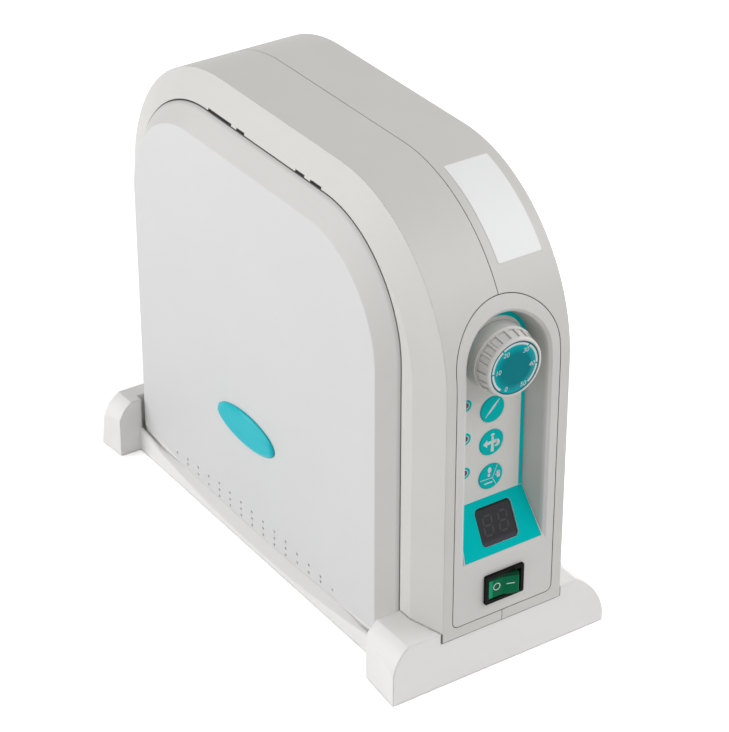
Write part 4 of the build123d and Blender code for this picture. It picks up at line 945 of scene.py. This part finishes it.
rocker_green = moulded(
    "rocker_green", green_middle_colour, roughness=0.14, grain_size=0.001, grain_depth=0.000002,
    edge_radius=0.0005, shift=0.04, specular=0.04,
)
green_tree = rocker_green.node_tree
green_place = place_axes(green_tree)
green_end_highlight = mask(green_tree, maths(green_tree, "ABSOLUTE", green_place["X"]), *green_end_highlight_band)
green_top_shade = mask(green_tree, green_place["Z"], *green_top_shade_band)
green_highlighted = mix_tones(green_tree, green_end_highlight, green_middle_colour, green_end_highlight_colour)
feed_grain(rocker_green, "Colour", mix_tones(green_tree, green_top_shade, green_highlighted, green_top_shade_colour))
finish(rocker_green, "rocker_paddle")

off_sign = bmesh.new()
add_arc(off_sign, off_middle, off_radius - off_stroke, off_radius, 0, 2 * pi, steps=40)
on_sign = bmesh.new()
add_bar(on_sign, (-on_half_mm, 0), (on_half_mm, 0), on_stroke_mm, on_stroke_mm)
# half a paddle out from the pivot, on the face that slopes up to this end
paddle_slope = atan2(rocker_end_reach - rocker_middle_reach, rocker_half)
paddle_reach = (rocker_middle_reach + rocker_end_reach) / 2
tipped = Matrix.Translation((0, rocker_pivot_y, rocker_z)) @ Matrix.Rotation(-rocker_tilt, 4, "Z")
for side, name, sign in ((-1, "rocker_off_sign", off_sign), (1, "rocker_on_sign", on_sign)):
    thicken(sign, print_thickness)
    place = Matrix.Translation((side * rocker_half / 2, -paddle_reach, 0))
    face = place @ Matrix.Rotation(-side * paddle_slope, 4, "Z")
    add_piece(name, sign, print_white, "rocker_body", tipped @ face @ front_plane)

# Blank sticker: a white paper label with round corners, stuck on the front curve of the crown. Nothing is
# printed on it.
sticker_left = 0.0045
sticker_right = 0.0273
sticker_low = radians(36.9)
sticker_high = radians(73.2)
sticker_reach = crown_radius + 0.00001
sticker_corner = 0.0009
sticker_thickness = 0.00012
sticker = bmesh.new()
sticker_y = crown_centre_y - sticker_reach * cos(sticker_low)
sticker_z = crown_centre_z + sticker_reach * sin(sticker_low)
ends = [sticker.verts.new((x, sticker_y, sticker_z)) for x in (sticker_left, sticker_right)]
edge = sticker.edges.new(ends)
bmesh.ops.spin(
    sticker, geom=ends + [edge], cent=(0, crown_centre_y, crown_centre_z), axis=(1, 0, 0),
    angle=sticker_low - sticker_high, steps=40,
)
bmesh.ops.recalc_face_normals(sticker, faces=sticker.faces)
if sticker.faces[0].normal.y > 0:
    bmesh.ops.reverse_faces(sticker, faces=sticker.faces)
tips = [vert for vert in sticker.verts if len(vert.link_edges) == 2]
bmesh.ops.bevel(
    sticker, geom=tips, offset=sticker_corner, offset_type="OFFSET", segments=4, profile=0.5,
    affect="VERTICES", material=-1,
)
bmesh.ops.solidify(sticker, geom=sticker.faces[:], thickness=-sticker_thickness)
sticker_paper = moulded(
    "sticker_paper", (0.900, 0.902, 0.904, 1), roughness=0.5, grain_size=0.0008, grain_depth=0.000006,
    edge_radius=0.0001, shift=0.01,
)
add_piece("blank_sticker", sticker, sticker_paper, "control_box")

# Rear: a steel panel with a fine powder coat, screwed on. It carries the moulded inlet and fuse holder,
# and three round sockets, each a nickel plated nut round a black insulating core.
socket_bores = (
    ("motor_socket_a", -0.013, 0.112, 0.0060),
    ("motor_socket_b", 0.013, 0.112, 0.0060),
    ("pedal_socket", 0.0, 0.084, 0.0045),
)
core_black = (0.02, 0.02, 0.021, 1)
nickel_colour = (0.40, 0.39, 0.37, 1)
core_gap_start = 0.0001
core_gap_end = 0.0002
rear_paint = moulded(
    "rear_paint", (0.400, 0.395, 0.385, 1), roughness=0.5, grain_size=0.0008, grain_depth=0.00003, shift=0.03,
)
finish(rear_paint, "rear_panel")
moulded_black = moulded("moulded_black", (0.014, 0.014, 0.015, 1), grain_size=0.0005, shift=0.1)
finish(moulded_black, "mains_inlet", "fuse_holder", "fuse_cap")


def metal(name, colour, roughness, grain_size=0.0003):
    """A bare metal with a fine uneven shine."""
    material = moulded(
        name, colour, roughness, grain_size, grain_depth=0.000006, edge_radius=0.0003, shift=0.05,
    )
    surface(material)["Metallic"].default_value = 1.0
    return material


steel = metal("steel", (0.36, 0.36, 0.37, 1), roughness=0.36)
finish(steel, "rear_panel_screws", "case_screws", "base_screws", "dial_shaft", "transformer_strap")
brass = metal("brass", (0.72, 0.55, 0.26, 1), roughness=0.28)
finish(brass, "inlet_pins", "rocker_terminals", "potentiometer_nut")
for name, x, z, bore in socket_bores:
    nickel = metal(name + "_nickel", nickel_colour, roughness=0.30)
    nickel_tree = nickel.node_tree
    flat = add_node(nickel_tree, "VectorMath", operation="MULTIPLY", inputs={
        0: object_place(nickel_tree), 1: (1, 0, 1),
    })
    reach = add_node(nickel_tree, "VectorMath", operation="DISTANCE", inputs={
        0: flat.outputs["Vector"], 1: (x, 0, z),
    })
    outside = mask(nickel_tree, reach.outputs["Value"], bore + core_gap_start, bore + core_gap_end)
    feed_grain(nickel, "Colour", mix_tones(nickel_tree, outside, core_black, nickel_colour))
    nickel_tree.links.new(outside, surface(nickel)["Metallic"])
    finish(nickel, name)

# Chassis and transformer: a zinc plated steel plate, a stack of dark sheets, and a winding under yellow
# tape, held by a steel strap
zinc = metal("zinc_plate", (0.60, 0.60, 0.56, 1), roughness=0.38, grain_size=0.004)
finish(zinc, "chassis_plate")


def band(material, axis, pitch, depth, tone):
    """Adds straight bands across a material: a ridge each pitch along the axis, darker between them."""
    tree = material.node_tree
    grain = tree.nodes["grain"]
    colour = grain.inputs["Colour"].default_value[:]
    dark = (colour[0] * tone, colour[1] * tone, colour[2] * tone, 1)
    ridges = add_node(tree, "TexWave", bands_direction=axis, inputs={
        "Vector": object_place(tree), "Scale": pi / 10 / pitch, "Distortion": 0.4,
    }).outputs["Fac"]
    feed_grain(material, "Colour", mix_tones(tree, ridges, dark, colour))
    rise = add_node(tree, "Bump", {
        "Distance": depth, "Height": ridges, "Normal": grain.outputs["Normal"],
    })
    tree.links.new(rise.outputs["Normal"], surface(material)["Normal"])


core_steel = metal("core_steel", (0.20, 0.19, 0.19, 1), roughness=0.5, grain_size=0.0005)
band(core_steel, "X", pitch=0.0005, depth=0.0001, tone=0.5)
finish(core_steel, "transformer_core")
winding_tape = moulded(
    "winding_tape", (0.520, 0.360, 0.060, 1), roughness=0.4, grain_size=0.001, grain_depth=0.00003,
    edge_radius=0.0005, shift=0.08,
)
band(winding_tape, "Z", pitch=0.0009, depth=0.0001, tone=0.8)
finish(winding_tape, "transformer_coil")

# Boards and their components: green boards with pale copper tracks under the mask, with black moulded
# parts, a ribbed black heat sink and dark blue capacitors soldered to them
mask_green = (0.010, 0.100, 0.040, 1)
track_green = (0.035, 0.190, 0.080, 1)
track_scale = 220
track_half = 0.07
track_edge = 0.02
board_green = moulded(
    "board_green", mask_green, roughness=0.32, grain_size=0.0012, edge_radius=0.0002, shift=0.1,
)
board_tree = board_green.node_tree
tracks = add_node(board_tree, "TexVoronoi", feature="DISTANCE_TO_EDGE", inputs={
    "Vector": object_place(board_tree), "Scale": track_scale,
})
off_track = mask(board_tree, tracks.outputs["Distance"], track_half, track_half + track_edge)
feed_grain(board_green, "Colour", mix_tones(board_tree, off_track, track_green, mask_green))
finish(board_green, "display_board", "key_board", "power_board")
finish(moulded_black, "display_module", "tact_switches", "power_transistors", "relay")
aluminium = metal("aluminium", (0.70, 0.70, 0.71, 1), roughness=0.35)
finish(aluminium, "board_standoffs", "potentiometer")
sink_metal = metal("sink_metal", (0.10, 0.10, 0.105, 1), roughness=0.45)
band(sink_metal, "Z", pitch=0.0012, depth=0.00002, tone=0.85)
finish(sink_metal, "heat_sink")
capacitor_sleeve = moulded(
    "capacitor_sleeve", (0.02, 0.03, 0.08, 1), roughness=0.3, grain_size=0.001, edge_radius=0.0005, shift=0.1,
)
finish(capacitor_sleeve, "smoothing_capacitors")
header_nylon = moulded("header_nylon", (0.76, 0.73, 0.64, 1), roughness=0.4)
finish(header_nylon, "board_header")

# Floor, light and camera: a pale floor, large soft lamps from the left, the front, the right, above and
# the rear left, and a long lens at the photograph's angle
floor_colour = (0.80, 0.80, 0.80, 1)
floor_shown_colour = (1.70, 1.70, 1.70, 1)
floor_half = 1.1
world_light = 0.27
lamp_size = 1.4
lamp_aim = Vector((0, 0, 0.11))
lamp_places = (
    ("right_lamp", (1.85, -0.33, 0.79), 18.5),
    ("front_lamp", (0.80, -1.36, 1.34), 14.1),
    ("left_lamp", (-1.91, -0.51, 0.39), 6.7),
    ("rear_lamp", (-1.72, 0.99, 0.39), 25.6),
    ("top_lamp", (0.0, 0.0, 2.11), 4.2),
)
camera_place = (-0.6052, -0.9233, 0.7569)
camera_back = Vector((-0.47704, -0.71107, 0.51638))
camera_lens = 135.1


def backdrop_rays(tree):
    """1 for the rays that show the bare backdrop: from the camera, off gloss or through glass."""
    rays = add_node(tree, "LightPath").outputs
    seen = maths(tree, "MAXIMUM", rays["Is Camera Ray"], rays["Is Glossy Ray"])
    return maths(tree, "MAXIMUM", seen, rays["Is Transmission Ray"])


floor_shape = bmesh.new()
bmesh.ops.create_grid(floor_shape, x_segments=1, y_segments=1, size=floor_half)
floor_mesh = bpy.data.meshes.new("floor")
floor_shape.to_mesh(floor_mesh)
floor_shape.free()
floor = bpy.data.objects.new("floor", floor_mesh)
bpy.context.collection.objects.link(floor)
floor_paint = bpy.data.materials.new("floor_paint")
floor_paint.use_nodes = True
floor_tree = floor_paint.node_tree
surface(floor_paint)["Roughness"].default_value = 0.9
surface(floor_paint)["Specular IOR Level"].default_value = 0.0
floor_shade = mix_tones(floor_tree, backdrop_rays(floor_tree), floor_colour, floor_shown_colour)
floor_tree.links.new(floor_shade, surface(floor_paint)["Base Color"])
floor_mesh.materials.append(floor_paint)

world = bpy.data.worlds.new("studio")
bpy.context.scene.world = world
world.use_nodes = True
sky_tree = world.node_tree
sky_strength = add_node(sky_tree, "MapRange", {
    "Value": backdrop_rays(sky_tree), "To Min": world_light, "To Max": 1.0,
})
sky = sky_tree.nodes["Background"].inputs
sky["Color"].default_value = (1, 1, 1, 1)
sky_tree.links.new(sky_strength.outputs["Result"], sky["Strength"])

for name, place, power in lamp_places:
    lamp = bpy.data.lights.new(name, "AREA")
    lamp.shape = "SQUARE"
    lamp.size = lamp_size
    lamp.energy = power
    holder = bpy.data.objects.new(name, lamp)
    holder.location = place
    holder.rotation_euler = (Vector(place) - lamp_aim).to_track_quat("Z", "Y").to_euler()
    bpy.context.collection.objects.link(holder)

camera_data = bpy.data.cameras.new("camera")
camera_data.lens = camera_lens
camera_data.sensor_width = 36
camera_data.sensor_fit = "AUTO"
camera_data.clip_start = 0.01
camera = bpy.data.objects.new("camera", camera_data)
camera.location = camera_place
camera.rotation_euler = camera_back.to_track_quat("Z", "Y").to_euler()
bpy.context.collection.objects.link(camera)
bpy.context.scene.camera = camera
bpy.context.scene.view_settings.view_transform = "Standard"
